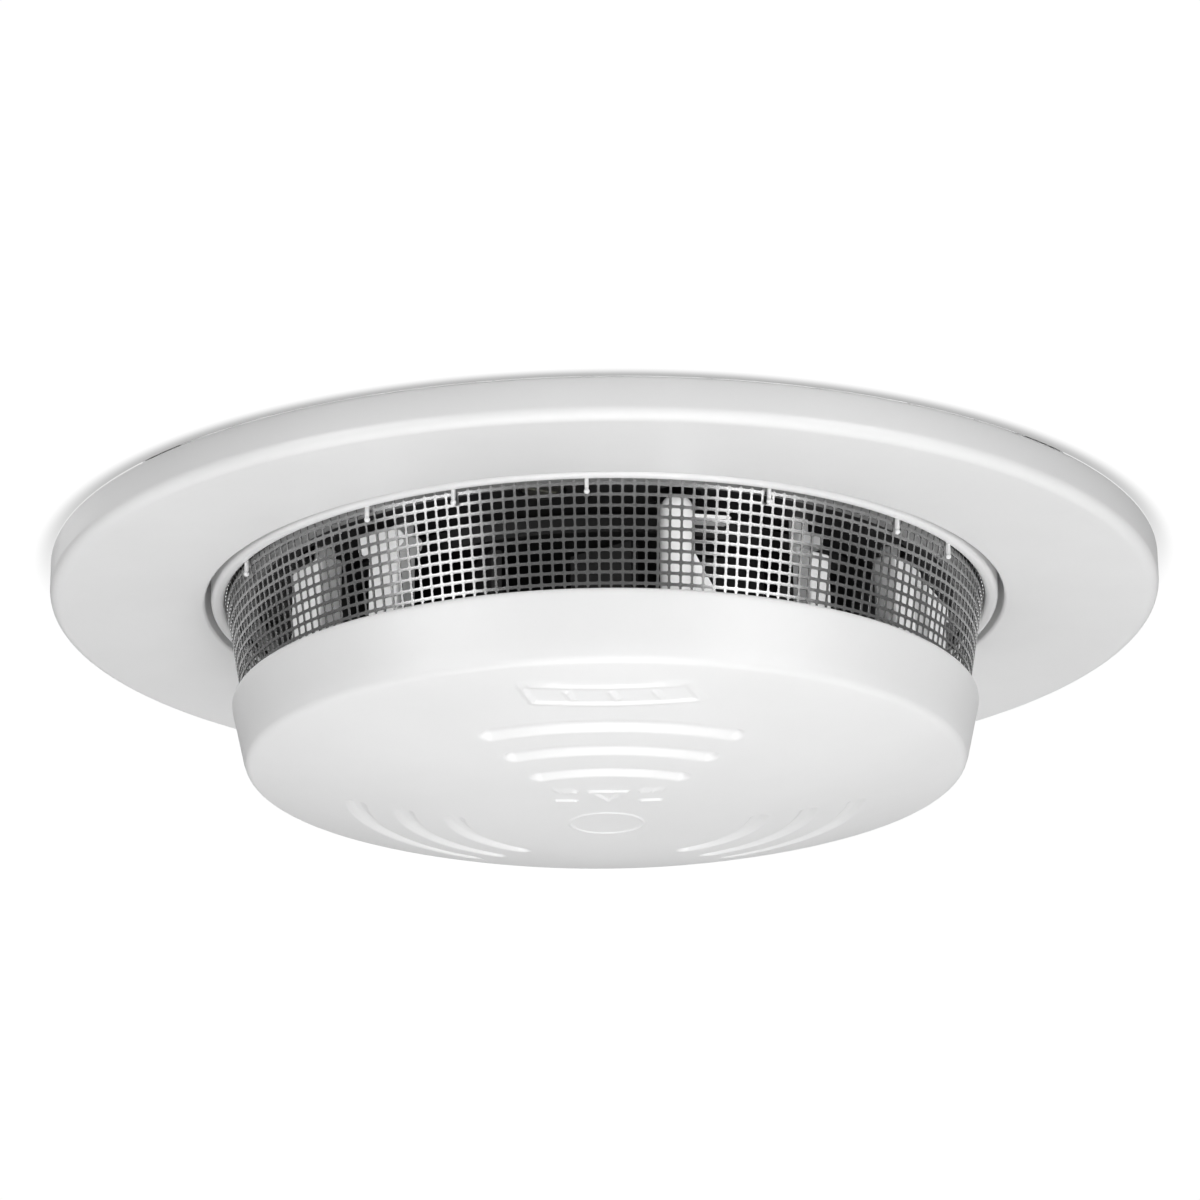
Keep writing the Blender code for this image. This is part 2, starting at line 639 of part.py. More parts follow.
def make_alarm_base():
    """A deep cup with bayonet hooks on its back, spring seats and screw bosses inside."""
    inner = BASE_R - BASE_WALL
    lip = arc((BASE_R - BASE_WALL / 2, BASE_LIP + BASE_WALL / 2), BASE_WALL / 2, 0, -180, 4)
    profile = [
        (0, BASE_TOP),
        (BASE_R - BASE_EDGE, BASE_TOP),
        (BASE_R, BASE_TOP - BASE_EDGE),
        *lip,
        (inner, BASE_TOP - BASE_PLATE),
        (0, BASE_TOP - BASE_PLATE),
    ]
    base = turned("alarm_base", profile, WHITE, HEAD)
    sunk = BASE_TOP - BASE_PLATE / 2
    for i, angle in enumerate(HOOK_ANGLES):
        at = polar(HOOK_R, angle)
        foot_low = PLATE_HIGH + HOOK_CLEAR
        neck_high = foot_low + HOOK_CLEAR
        size = (*HOOK_NECK, neck_high - sunk)
        neck = cut_box(f"hook_neck_{i + 1}", size, (at.x, at.y, (neck_high + sunk) / 2), angle)
        boolean(base, neck, "UNION")
        size = (*HOOK_FOOT, HOOK_TOP - foot_low)
        foot = cut_box(f"hook_foot_{i + 1}", size, (at.x, at.y, (HOOK_TOP + foot_low) / 2), angle)
        boolean(base, foot, "UNION")
    for i, angle in enumerate(LEG_ANGLES):
        seat = cut_cylinder(f"spring_seat_{i + 1}", SEAT_R, SEAT_LOW, sunk, polar(LEG_AT_R, angle), 16)
        boolean(base, seat, "UNION")
    for i, angle in enumerate(BOSS_ANGLES):
        at = polar(BOSS_AT_R, angle)
        boss = cut_cylinder(f"boss_{i + 1}", BOSS_R, BOARD_HIGH + GAP, sunk, at, 16)
        boolean(base, boss, "UNION")
        hole = cut_cylinder(f"boss_hole_{i + 1}", BOARD_SCREW_R + GAP, 0, BOSS_HOLE_TOP, at, 12)
        boolean(base, hole)


def radial_box(name, size, radius, angle, low, high):
    at = polar(radius, angle, (low + high) / 2)
    return cut_box(name, (size[0], size[1], high - low), at, angle)


def make_chassis():
    """The black plate under the circuit board, with openings for the cap's legs, the lamp and the switch."""
    chassis = turned("chassis", cylinder_profile(CHASSIS_R, CHASSIS_LOW, CHASSIS_HIGH), BLACK, HEAD)
    low, high = CHASSIS_LOW - THROUGH, CHASSIS_HIGH + THROUGH
    for i, angle in enumerate(BOSS_ANGLES):
        at = polar(BOSS_AT_R, angle)
        middle = (CHASSIS_LOW + CHASSIS_HIGH) / 2
        pad = cut_cylinder(f"standoff_{i + 1}", STANDOFF_R, middle, BOARD_LOW - GAP, at, 16)
        boolean(chassis, pad, "UNION")
        hole = cut_cylinder(f"chassis_hole_{i + 1}", BOARD_SCREW_R + GAP, low, BOARD_LOW, at, 12)
        boolean(chassis, hole)
        sink = cut_cylinder(f"head_sink_{i + 1}", HEAD_SINK_R, low, CHASSIS_LOW + HEAD_SINK, at, 16)
        boolean(chassis, sink)
    for i, angle in enumerate(LEG_ANGLES):
        size = (STEM[0] + SLOT_CLEAR, STEM[1] + SLOT_CLEAR)
        boolean(chassis, radial_box(f"leg_slot_{i + 1}", size, LEG_AT_R, angle, low, high))
    boolean(chassis, cut_cylinder("lamp_hole", LAMP_HOLE_R, low, high, polar(PIPE_AT_R, PIPE_ANGLE), 16))
    size = (SWITCH_BODY[0] + SLOT_CLEAR, SWITCH_BODY[1] + SLOT_CLEAR)
    boolean(chassis, radial_box("switch_window", size, SWITCH_AT_R, SWITCH_ANGLE, low, high))


def make_circuit_board():
    board = turned("circuit_board", cylinder_profile(BOARD_R, BOARD_LOW, BOARD_HIGH), BOARD, HEAD)
    low, high = BOARD_LOW - THROUGH, BOARD_HIGH + THROUGH
    for i, angle in enumerate(LEG_ANGLES):
        boolean(board, radial_box(f"board_notch_{i + 1}", BOARD_NOTCH, NOTCH_AT_R, angle, low, high))
    for i, angle in enumerate(BOSS_ANGLES):
        at = polar(BOSS_AT_R, angle)
        boolean(board, cut_cylinder(f"board_hole_{i + 1}", BOARD_SCREW_R + GAP, low, high, at, 12))


def make_board_screws():
    for i, angle in enumerate(BOSS_ANGLES):
        head_low = CHASSIS_LOW + 0.1 * MM
        make_screw(f"board_screw_{i + 1}", polar(BOSS_AT_R, angle), head_low, head_low + 0.8 * MM,
                   1.8 * MM, BOARD_SCREW_R, 8.5 * MM, HEAD)


def make_battery():
    """The cell lies along X, its raised terminal at +X."""
    nub_r, nub_long = BATTERY_NUB
    half = BATTERY_LONG / 2
    profile = [
        (0, half),
        (nub_r, half),
        (nub_r, half - nub_long),
        (BATTERY_R - 0.6 * MM, half - nub_long),
        (BATTERY_R, half - nub_long - 0.6 * MM),
        (BATTERY_R, -half + 0.5 * MM),
        (BATTERY_R - 0.5 * MM, -half),
        (0, -half),
    ]
    turned("battery", profile, SLEEVE, HEAD, BATTERY_AT, (0, radians(90), 0), segments=32)

    middle = (CRADLE_LOW + CRADLE_HIGH) / 2
    size = (2 * CRADLE_HALF[0], 2 * CRADLE_HALF[1], CRADLE_HIGH - CRADLE_LOW)
    cradle = box("battery_cradle", size, (0, BATTERY_AT.y, middle), BLACK, HEAD)
    bore = cylinder_profile(BATTERY_R + TROUGH_SPARE, -TROUGH_HALF, TROUGH_HALF)
    trough = turned_mesh("trough", bore, False, 32)
    trough.location = BATTERY_AT
    trough.rotation_euler = (0, radians(90), 0)
    boolean(cradle, as_cutter(trough))

    for side, sign in (("plus", 1), ("minus", -1)):
        at = Vector((sign * (half + CONTACT_OUT), BATTERY_AT.y, CONTACT_Z))
        contact = box(f"battery_contact_{side}", CONTACT, at, STEEL, HEAD)
        fold_at = (at.x + sign * CONTACT_FOLD_OUT, at.y, at.z + CONTACT_FOLD_UP)
        boolean(contact, cut_box(f"contact_fold_{side}", CONTACT_FOLD, fold_at), "UNION")


def make_board_components():
    """The larger components on the board, standing clear of the battery cradle."""
    top = BOARD_HIGH + GAP
    at = (*CHIP_AT, top + CHIP_SIZE[2] / 2)
    box("microcontroller", CHIP_SIZE, at, CHIP, HEAD, bevel=CHIP_EDGE)
    waist = CAPACITOR_R - 0.25 * MM
    capacitor = [
        (0, top + CAPACITOR_TALL),
        (CAPACITOR_R - 0.45 * MM, top + CAPACITOR_TALL),
        (CAPACITOR_R, top + CAPACITOR_TALL - 0.4 * MM),
        (CAPACITOR_R, top + 1.4 * MM),
        (waist, top + 1.1 * MM),
        (CAPACITOR_R, top + 0.8 * MM),
        (CAPACITOR_R, top),
        (0, top),
    ]
    turned("capacitor", capacitor, SLEEVE, HEAD, CAPACITOR_AT, segments=24)
    bobbin = [
        (0, top + COIL_TALL),
        (COIL_FLANGE_R, top + COIL_TALL),
        (COIL_FLANGE_R, top + COIL_TALL - COIL_FLANGE),
        (COIL_R, top + COIL_TALL - COIL_FLANGE),
        (COIL_R, top + COIL_FLANGE),
        (COIL_FLANGE_R, top + COIL_FLANGE),
        (COIL_FLANGE_R, top),
        (0, top),
    ]
    turned("horn_coil", bobbin, COPPER, HEAD, COIL_AT, segments=24)
    lamp_high = BOARD_LOW - GAP
    lamp = [
        (0, lamp_high),
        (LAMP_R, lamp_high),
        (LAMP_R, LAMP_LOW + 0.7 * MM),
        (LAMP_TIP_R, LAMP_LOW + 0.1 * MM),
        (0, LAMP_LOW),
    ]
    turned("status_lamp", lamp, CLEAR, HEAD, polar(PIPE_AT_R, PIPE_ANGLE), segments=16)


def make_switch():
    """A push switch under the board: its body has a blind bore, and the plunger slides up into it."""
    at = polar(SWITCH_AT_R, SWITCH_ANGLE)
    high = BOARD_LOW - GAP
    size = (*SWITCH_BODY, high - SWITCH_LOW)
    body = box("test_switch", size, (at.x, at.y, (high + SWITCH_LOW) / 2), CHIP, HEAD,
               (0, 0, SWITCH_ANGLE))
    bore_high = PLUNGER[1] + CAP_PRESS + 0.2 * MM
    bore = cut_cylinder("switch_bore", PLUNGER_R + GAP, SWITCH_LOW - THROUGH, bore_high, at, 20)
    boolean(body, bore)
    low, high = PLUNGER
    profile = [
        (0, high),
        (PLUNGER_R, high),
        (PLUNGER_R, low + 0.3 * MM),
        (PLUNGER_R - 0.3 * MM, low),
        (0, low),
    ]
    turned("switch_plunger", profile, WHITE, PRESS, at, segments=20)


def make_chamber():
    """The light-tight smoke chamber: base, slanted vanes, cover, and the lamp and sensor inside."""
    turned("chamber_base", cylinder_profile(CHAMBER_R, *CHAMBER_BASE), BLACK, HEAD, segments=36)
    turned("chamber_cover", cylinder_profile(CHAMBER_R, *CHAMBER_COVER), BLACK, HEAD, segments=36)
    low, high = LABYRINTH
    floor = ring_profile(CHAMBER_R, LABYRINTH_INNER_R, low, low + LABYRINTH_FLOOR)
    ring = turned("labyrinth", floor, BLACK, HEAD, ring=True, segments=36)
    for i in range(VANES):
        angle = 2 * pi * i / VANES
        foot = low + LABYRINTH_FLOOR / 2
        at = polar(VANE_AT_R, angle, (foot + high) / 2)
        size = (*VANE, high - foot)
        boolean(ring, cut_box(f"vane_{i + 1}", size, at, angle + VANE_SLANT), "UNION")
    for name, angle in (("infrared_lamp", radians(200)), ("photodiode", radians(-25))):
        profile = [
            (0, 0),
            (OPTIC_R * 0.55, -0.35 * MM),
            (OPTIC_R * 0.9, -1.2 * MM),
            (OPTIC_R, -2.2 * MM),
            (OPTIC_R, OPTIC_RIM - OPTIC_LONG),
            (OPTIC_R * 1.15, OPTIC_RIM - OPTIC_LONG),
            (OPTIC_R * 1.15, -OPTIC_LONG),
            (0, -OPTIC_LONG),
        ]
        at = polar(OPTIC_AT_R - OPTIC_LONG, angle, OPTIC_Z)
        turned(name, profile, CHIP, HEAD, at, (0, radians(90), angle + pi), segments=16)


def make_insect_screen():
    """A sheet collar and cone round the chamber, from inside the base's lip down into the cap's rim."""
    sheet = SCREEN_SHEET
    profile = [
        (SCREEN_TOP_R, SCREEN_TOP),
        (SCREEN_TOP_R, SCREEN_BEND),
        (SCREEN_LOW_R, SCREEN_LOW),
        (SCREEN_LOW_R - sheet, SCREEN_LOW),
        (SCREEN_TOP_R - sheet, SCREEN_BEND),
        (SCREEN_TOP_R - sheet, SCREEN_TOP),
    ]
    turned("insect_screen", profile, SCREEN, HEAD, ring=True)


def make_sounder():
    """The sounder's plate and cup, the piezo disc in the cup, and the lid with its sound port."""
    cup_in = SOUNDER_CUP_R - SOUNDER_CUP_WALL
    low, high = SOUNDER_PLATE
    profile = [
        (SOUNDER_PLATE_R, high),
        (SOUNDER_PLATE_R, low),
        (SOUNDER_CUP_R, low),
        (SOUNDER_CUP_R, SOUNDER_CUP_LOW),
        (cup_in, SOUNDER_CUP_LOW),
        (cup_in, low),
        (SOUNDER_PORT_R, low),
        (SOUNDER_PORT_R, high),
    ]
    housing = turned("sounder_housing", profile, WHITE, HEAD, ring=True, segments=36)
    notches = [("leg", angle, LEG_NOTCH) for angle in LEG_ANGLES]
    notches.append(("step", LEG_STEP_ANGLE, LEG_STEP_NOTCH))
    notches.append(("pipe", PIPE_ANGLE, PIPE_NOTCH))
    notches.append(("pin", SWITCH_ANGLE, PIN_NOTCH))
    for i, (use, angle, size) in enumerate(notches):
        name = f"sounder_{use}_notch_{i + 1}"
        boolean(housing, radial_box(name, size, NOTCH_AT_R, angle, low - THROUGH, high + THROUGH))
    for i, (angle, width, shoulder, head) in enumerate(POSTS):
        size = (POST_DEEP, width)
        post = radial_box(f"post_{i + 1}", size, POST_AT_R, angle, low + POST_OVERLAP, shoulder)
        boolean(housing, post, "UNION")
        top = shoulder
        if head:
            top = POST_HEAD_TOP
            size = (POST_DEEP + 2 * POST_HEAD_PROUD, head)
            block = radial_box(f"post_head_{i + 1}", size, POST_AT_R, angle, shoulder - POST_OVERLAP, top)
            boolean(housing, block, "UNION")
        neck = radial_box(f"post_neck_{i + 1}", POST_NECK, POST_AT_R, angle, top - POST_OVERLAP, POST_TOP)
        boolean(housing, neck, "UNION")
    turned("piezo_disc", cylinder_profile(PIEZO_R, *PIEZO), BRASS, HEAD, segments=36)
    lid_high = SOUNDER_CUP_LOW - GAP
    lid = ring_profile(SOUNDER_CUP_R, SOUND_PORT_R, lid_high - LID_THICK, lid_high)
    turned("sounder_lid", lid, WHITE, HEAD, ring=True, segments=36)


def dome_z(radius):
    return CAP_EDGE - DOME_RISE * (1 - (radius / CAP_EDGE_R) ** DOME_POWER)


def cap_profile():
    """From the middle of the dome up the inside to the rim, then down the outside to the middle again."""
    outside = [
        (CAP_RIM_R - CAP_RIM_FILLET, CAP_RIM),
        (CAP_RIM_R, CAP_RIM - CAP_RIM_FILLET),
        *arc(CAP_FILLET_AT, CAP_FILLET, -12, -72, 3),
    ]
    outside += [(r, dome_z(r)) for r in DOME_RINGS]
    outside.append((0, dome_z(0)))
    inside = [(0, dome_z(0) + CAP_WALL)]
    inside += [(r, dome_z(r) + CAP_WALL) for r in reversed(DOME_INNER_RINGS)]
    inside += [
        (CAP_EDGE_R - CAP_WALL + CAP_WALL_STEP, CAP_EDGE + CAP_WALL + CAP_WALL_STEP),
        (CAP_RIM_INNER_R - CAP_STEP_IN, CAP_STEP),
        (CAP_RIM_INNER_R, CAP_STEP),
        (CAP_RIM_INNER_R, CAP_RIM),
    ]
    return inside + outside


def make_cap():
    """The domed cap, which is pressed as a whole to test the alarm."""
    cap = turned("cap", cap_profile(), WHITE, CAP)
    for i, angle in enumerate(LEG_ANGLES):
        leg = radial_box(f"leg_{i + 1}", LEG, LEG_AT_R, angle, LEG_FOOT, LEG_TOP)
        boolean(cap, leg, "UNION")
        stem = radial_box(f"stem_{i + 1}", STEM, LEG_AT_R, angle, LEG_TOP - THROUGH, STEM_TOP - STEM_SEAT / 2)
        boolean(cap, stem, "UNION")
        barb_low = CHASSIS_HIGH + GAP
        barb = radial_box(f"barb_{i + 1}", BARB, LEG_AT_R, angle, barb_low, barb_low + BARB_TALL)
        boolean(cap, barb, "UNION")
        at = polar(LEG_AT_R, angle)
        seat = cut_cylinder(f"stem_seat_{i + 1}", SEAT_R, STEM_TOP - STEM_SEAT, STEM_TOP, at, 12)
        boolean(cap, seat, "UNION")
    step = radial_box("leg_step", LEG_STEP, LEG_STEP_AT_R, LEG_STEP_ANGLE, LEG_STEP_FOOT, LEG_STEP_TOP)
    boolean(cap, step, "UNION")
    at = polar(SWITCH_AT_R, SWITCH_ANGLE)
    pin = cut_cylinder("push_pin", PIN_R, LEG_FOOT, PLUNGER[0] - GAP, at, 12)
    boolean(cap, pin, "UNION")
    at = polar(PIPE_AT_R, PIPE_ANGLE)
    socket = cut_cylinder("pipe_socket", SOCKET_R, *SOCKET, at, 16)
    boolean(cap, socket, "UNION")
    well = cut_cylinder("pipe_well", PIPE_FOOT_R + GAP, PIPE_LOW - GAP, SOCKET[1] + THROUGH, at, 16)
    boolean(cap, well)
    for turn in range(3):
        middle = GROOVE_MIDDLE + 2 * pi * turn / 3
        for ring, radius in enumerate(GROOVE_RADII):
            boolean(cap, groove(f"groove_{turn + 1}_{ring + 1}", radius, middle))


def groove(name, radius, middle, steps=5):
    """A round-ended tube along an arc, sunk a little way into the dome."""
    height = dome_z(radius) - GROOVE_TUBE + GROOVE_DEEP
    points = []
    for i in range(steps + 1):
        angle = middle - GROOVE_HALF_ANGLE + 2 * GROOVE_HALF_ANGLE * i / steps
        points.append(polar(radius, angle, height))
    return as_cutter(curve_as_mesh(curve_object(name, points, GROOVE_TUBE, 1)))


def make_light_pipe():
    """A clear rod that carries the lamp's light down to the cap, with a shelf and a buttress at its side."""
    profile = [
        (0, PIPE_TOP),
        (0.62 * PIPE_R, PIPE_TOP - 0.33 * MM),
        (0.97 * PIPE_R, PIPE_TOP - 1.3 * MM),
        (PIPE_R, PIPE_TOP - 2.1 * MM),
        (PIPE_R, PIPE_FOOT + 0.8 * MM),
        (PIPE_FOOT_R, PIPE_FOOT),
        (PIPE_FOOT_R, PIPE_LOW),
        (0, PIPE_LOW),
    ]
    at = polar(PIPE_AT_R, PIPE_ANGLE)
    pipe = turned("light_pipe", profile, CLEAR, CAP, at, segments=20)
    tangent = Vector((-sin(PIPE_ANGLE), cos(PIPE_ANGLE), 0))
    for name, (size, aside, height) in (
        ("pipe_shelf", PIPE_SHELF),
        ("pipe_buttress", PIPE_BUTTRESS),
        ("pipe_buttress_foot", PIPE_BUTTRESS_FOOT),
    ):
        middle = at + tangent * aside + Vector((0, 0, height))
        boolean(pipe, cut_box(name, size, middle, PIPE_ANGLE), "UNION")


def make_cap_springs():
    for i, angle in enumerate(LEG_ANGLES):
        low = STEM_TOP + GAP + SPRING_WIRE
        high = SEAT_LOW - GAP - SPRING_WIRE
        points = coil_points(SPRING_R, low, high, SPRING_TURNS)
        spring = curve_object(f"cap_spring_{i + 1}", points, SPRING_WIRE, 0)
        place(spring, STEEL, HEAD, polar(LEG_AT_R, angle))


def main():
    make_recess_housing()
    make_mounting_plate()
    make_plate_screws()
    for side, sign in CLIP_SIDES.items():
        make_clip(side, sign)
    make_alarm_base()
    make_chassis()
    make_circuit_board()
    make_board_screws()
    make_battery()
    make_board_components()
    make_switch()
    make_chamber()
    make_insect_screen()
    make_sounder()
    make_cap()
    make_light_pipe()
    make_cap_springs()


main()
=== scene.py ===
"""Looks of the recessed smoke detector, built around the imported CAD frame.

Shapes are in mm and scaled to metres when they are built; the stage, lights and camera are in metres.
+Z points up into the ceiling, whose lower face is z = 0. Angles are in degrees from +X, and the front is
at -90. A profile is a list of (r, z) that is turned about Z.
"""

from math import atan2, cos, pi, radians, sin, tan

import bmesh
import bpy
import numpy as np
from mathutils import Matrix, Vector


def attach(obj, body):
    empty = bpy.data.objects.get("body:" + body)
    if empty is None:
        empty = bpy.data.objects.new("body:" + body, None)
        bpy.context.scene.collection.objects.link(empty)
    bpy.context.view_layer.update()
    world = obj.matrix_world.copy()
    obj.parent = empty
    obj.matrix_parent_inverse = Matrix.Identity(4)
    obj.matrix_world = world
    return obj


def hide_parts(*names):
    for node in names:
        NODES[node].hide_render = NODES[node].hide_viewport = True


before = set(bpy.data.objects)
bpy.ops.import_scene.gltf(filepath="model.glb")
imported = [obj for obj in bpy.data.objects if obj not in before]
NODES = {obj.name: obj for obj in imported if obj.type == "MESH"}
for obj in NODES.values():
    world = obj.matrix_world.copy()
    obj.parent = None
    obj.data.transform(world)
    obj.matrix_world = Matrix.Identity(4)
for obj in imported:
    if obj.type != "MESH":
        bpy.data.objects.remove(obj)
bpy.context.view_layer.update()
MM = 0.001


# ---- profiles and shells ----
def rounded(points, steps=5, loop=True):
    """Profile points (r, z, fillet) in mm with each corner turned into an arc."""
    out = []
    count = len(points)
    for i, (r, z, fillet) in enumerate(points):
        here = Vector((r, z))
        if fillet <= 0 or (not loop and i in (0, count - 1)):
            out.append((r, z))
            continue
        before = (Vector(points[i - 1][:2]) - here).normalized()
        after = (Vector(points[(i + 1) % count][:2]) - here).normalized()
        half = before.angle(after) / 2
        reach = fillet / tan(half)
        centre = here + (before + after).normalized() * (fillet / sin(half))
        start = here + before * reach - centre
        end = here + after * reach - centre
        turn = atan2(start.x * end.y - start.y * end.x, start.dot(end))
        for k in range(steps + 1):
            a = turn * k / steps
            x = start.x * cos(a) - start.y * sin(a)
            y = start.x * sin(a) + start.y * cos(a)
            out.append((centre.x + x, centre.y + y))
    return out


def turned(at, angle):
    """The matrix that turns a shape about Z and moves it to a place."""
    return Matrix.Translation(at) @ Matrix.Rotation(radians(angle), 4, "Z")


def add_object(name, data):
    obj = bpy.data.objects.new(name, data)
    bpy.context.scene.collection.objects.link(obj)
    return obj


class Shape:
    """Vertices (mm) and faces of one piece, gathered shell by shell."""

    def __init__(self):
        self.verts = []
        self.faces = []

    def add(self, verts, faces):
        base = len(self.verts)
        self.verts.extend(tuple(v) for v in verts)
        self.faces.extend(tuple(base + i for i in face) for face in faces)

    def lathe(self, profile, segments=192, loop=True, matrix=None):
        """Turns (r, z) about Z. A profile that isn't a loop starts and ends on the axis."""
        verts, rings = [], []
        for r, z in profile:
            if r < 1e-6:
                rings.append([len(verts)] * segments)
                verts.append((0.0, 0.0, z))
                continue
            rings.append(list(range(len(verts), len(verts) + segments)))
            for k in range(segments):
                a = 2 * pi * k / segments
                verts.append((r * cos(a), r * sin(a), z))
        faces = []
        pairs = list(zip(rings, rings[1:]))
        if loop:
            pairs.append((rings[-1], rings[0]))
        for low, high in pairs:
            for k in range(segments):
                n = (k + 1) % segments
                corners = []
                for v in (low[k], low[n], high[n], high[k]):
                    if v not in corners:
                        corners.append(v)
                if len(corners) > 2:
                    faces.append(corners)
        if matrix is not None:
            verts = [matrix @ Vector(v) for v in verts]
        self.add(verts, faces)

    def block(self, size, at, angle=0.0, bevel=0.15, steps=2):
        """A box with rounded edges, turned about Z by an angle."""
        bm = bmesh.new()
        bmesh.ops.create_cube(bm, size=1.0)
        for v in bm.verts:
            v.co = Vector((v.co.x * size[0], v.co.y * size[1], v.co.z * size[2]))
        bmesh.ops.bevel(bm, geom=list(bm.edges), offset=bevel, segments=steps, profile=0.5, affect="EDGES")
        bm.transform(turned(at, angle))
        bm.verts.index_update()
        self.add([v.co for v in bm.verts], [[v.index for v in f.verts] for f in bm.faces])
        bm.free()

    def prism(self, outline, thick, at, angle):
        """A plate of even thickness along the radius, with its outline in (tangent, z), turned about Z."""
        count = len(outline)
        turn = turned(at, angle)
        verts = [turn @ Vector((side * thick / 2, t, z)) for side in (-1, 1) for t, z in outline]
        faces = [tuple(range(count)), tuple(reversed(range(count, 2 * count)))]
        faces += [(i, (i + 1) % count, count + (i + 1) % count, count + i) for i in range(count)]
        self.add(verts, faces)

    def mesh(self, name, outward=True):
        """A Blender mesh of the shape in metres, with its faces turned outward unless told not to."""
        mesh = bpy.data.meshes.new(name)
        mesh.from_pydata([(x * MM, y * MM, z * MM) for x, y, z in self.verts], [], self.faces)
        if outward:
            bm = bmesh.new()
            bm.from_mesh(mesh)
            bmesh.ops.recalc_face_normals(bm, faces=bm.faces)
            bm.to_mesh(mesh)
            bm.free()
        return mesh

    def build(self, name, material, body, nodes, sharp=32.0):
        """Makes the visible piece: it rides on a body, stands for CAD nodes and fills a material slot."""
        mesh = self.mesh(name)
        mesh.shade_smooth()
        mesh.set_sharp_from_angle(angle=radians(sharp))
        mesh.materials.append(material)
        obj = add_object(name, mesh)
        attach(obj, body)
        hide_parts(*nodes)
        return obj


def polar(radius, angle, z=0.0):
    return Vector((radius * cos(radians(angle)), radius * sin(radians(angle)), z))


# ---- materials ----
class Paint:
    """A Principled material whose colour, roughness and bump come from procedural textures."""

    def __init__(self, name, roughness=0.4, metallic=0.0):
        self.material = bpy.data.materials.new(name)
        self.material.use_nodes = True
        self.tree = self.material.node_tree
        self.shader = self.tree.nodes["Principled BSDF"]
        self.shader.inputs["Roughness"].default_value = roughness
        self.shader.inputs["Metallic"].default_value = metallic
        self.coords = self.tree.nodes.new("ShaderNodeTexCoord")
        self.bump = None

    def link(self, source, target):
        self.tree.links.new(source, target)

    def stretch(self, scale):
        mapping = self.tree.nodes.new("ShaderNodeMapping")
        mapping.inputs["Scale"].default_value = scale
        self.link(self.coords.outputs["Object"], mapping.inputs["Vector"])
        return mapping.outputs["Vector"]

    def noise(self, scale, detail=3.0, stretch=(1, 1, 1), roughness=0.5):
        node = self.tree.nodes.new("ShaderNodeTexNoise")
        node.inputs["Scale"].default_value = scale
        node.inputs["Detail"].default_value = detail
        node.inputs["Roughness"].default_value = roughness
        self.link(self.stretch(stretch), node.inputs["Vector"])
        return node.outputs["Fac"]

    def waves(self, scale):
        node = self.tree.nodes.new("ShaderNodeTexWave")
        node.bands_direction = "Z"
        node.inputs["Scale"].default_value = scale
        node.inputs["Distortion"].default_value = 0.0
        self.link(self.coords.outputs["Object"], node.inputs["Vector"])
        return node.outputs["Fac"]

    def ramp(self, source, low, high, start=0.35, end=0.65):
        node = self.tree.nodes.new("ShaderNodeValToRGB")
        node.color_ramp.elements[0].position = start
        node.color_ramp.elements[0].color = (*low, 1)
        node.color_ramp.elements[1].position = end
        node.color_ramp.elements[1].color = (*high, 1)
        self.link(source, node.inputs["Fac"])
        return node.outputs["Color"]

    def colour(self, source, low, high, start=0.35, end=0.65):
        self.link(self.ramp(source, low, high, start, end), self.shader.inputs["Base Color"])
        return self

    def rough(self, source, low, high):
        node = self.tree.nodes.new("ShaderNodeMapRange")
        node.inputs["To Min"].default_value = low
        node.inputs["To Max"].default_value = high
        self.link(source, node.inputs["Value"])
        self.link(node.outputs["Result"], self.shader.inputs["Roughness"])
        return self

    def relief(self, source, depth, strength=1.0):
        """Adds a bump of this depth in metres on top of those already there."""
        node = self.tree.nodes.new("ShaderNodeBump")
        node.inputs["Strength"].default_value = strength
        node.inputs["Distance"].default_value = depth
        self.link(source, node.inputs["Height"])
        if self.bump is not None:
            self.link(self.bump.outputs["Normal"], node.inputs["Normal"])
        self.link(node.outputs["Normal"], self.shader.inputs["Normal"])
        self.bump = node
        return self

    def fixed(self, **values):
        for key, value in values.items():
            self.shader.inputs[key.replace("_", " ")].default_value = value
        return self


def moulded_plastic(name, low, high, roughness, grain, depth):
    """Spark-eroded ABS: a fine grain, a faint drift in tone and in gloss."""
    paint = Paint(name)
    paint.colour(paint.noise(60.0, 4.0), low, high)
    paint.rough(paint.noise(grain * 0.12, 3.0), roughness - 0.05, roughness + 0.05)
    paint.relief(paint.noise(grain, 2.0, roughness=0.6), depth)
    paint.relief(paint.noise(260.0, 2.0), 0.00001, 0.35)
    return paint


def brushed_metal(name, low, high, roughness, stretch=(1, 1, 14), grain=2600.0, depth=0.000004):
    paint = Paint(name, roughness, 1.0)
    grainy = paint.noise(grain, 4.0, stretch)
    paint.colour(grainy, low, high, 0.3, 0.7)
    paint.rough(paint.noise(grain * 0.3, 3.0, stretch), roughness - 0.07, roughness + 0.09)
    paint.relief(grainy, depth, 0.6)
    return paint


def grey(value):
    return (value, value, value)


CAP_PAINT = moulded_plastic("cap_abs", grey(0.845), grey(0.875), 0.42, 4200.0, 0.000008)
TRIM_PAINT = moulded_plastic("trim_abs", grey(0.83), grey(0.86), 0.4, 4600.0, 0.000006)
BASE_PAINT = moulded_plastic("base_abs", grey(0.83), grey(0.865), 0.34, 5200.0, 0.000004)
PLATE_PAINT = moulded_plastic("plate_abs", grey(0.8), grey(0.84), 0.45, 3600.0, 0.00001)
# The screen's seat ring is white plastic like the base; its dark grey is painted shade standing in for the
# screen's shadow, which the screen does not cast
SEAT_SHADED_PAINT = moulded_plastic("seat_abs", grey(0.3), grey(0.34), 0.45, 4200.0, 0.000006)
INNER_PAINT = moulded_plastic("inner_abs", grey(0.8), grey(0.85), 0.4, 4200.0, 0.000006)
BLACK_PAINT = moulded_plastic("chamber_black", grey(0.014), grey(0.022), 0.5, 3000.0, 0.00001)
CHIP_PAINT = moulded_plastic("chip_epoxy", grey(0.012), grey(0.022), 0.55, 6000.0, 0.000008)
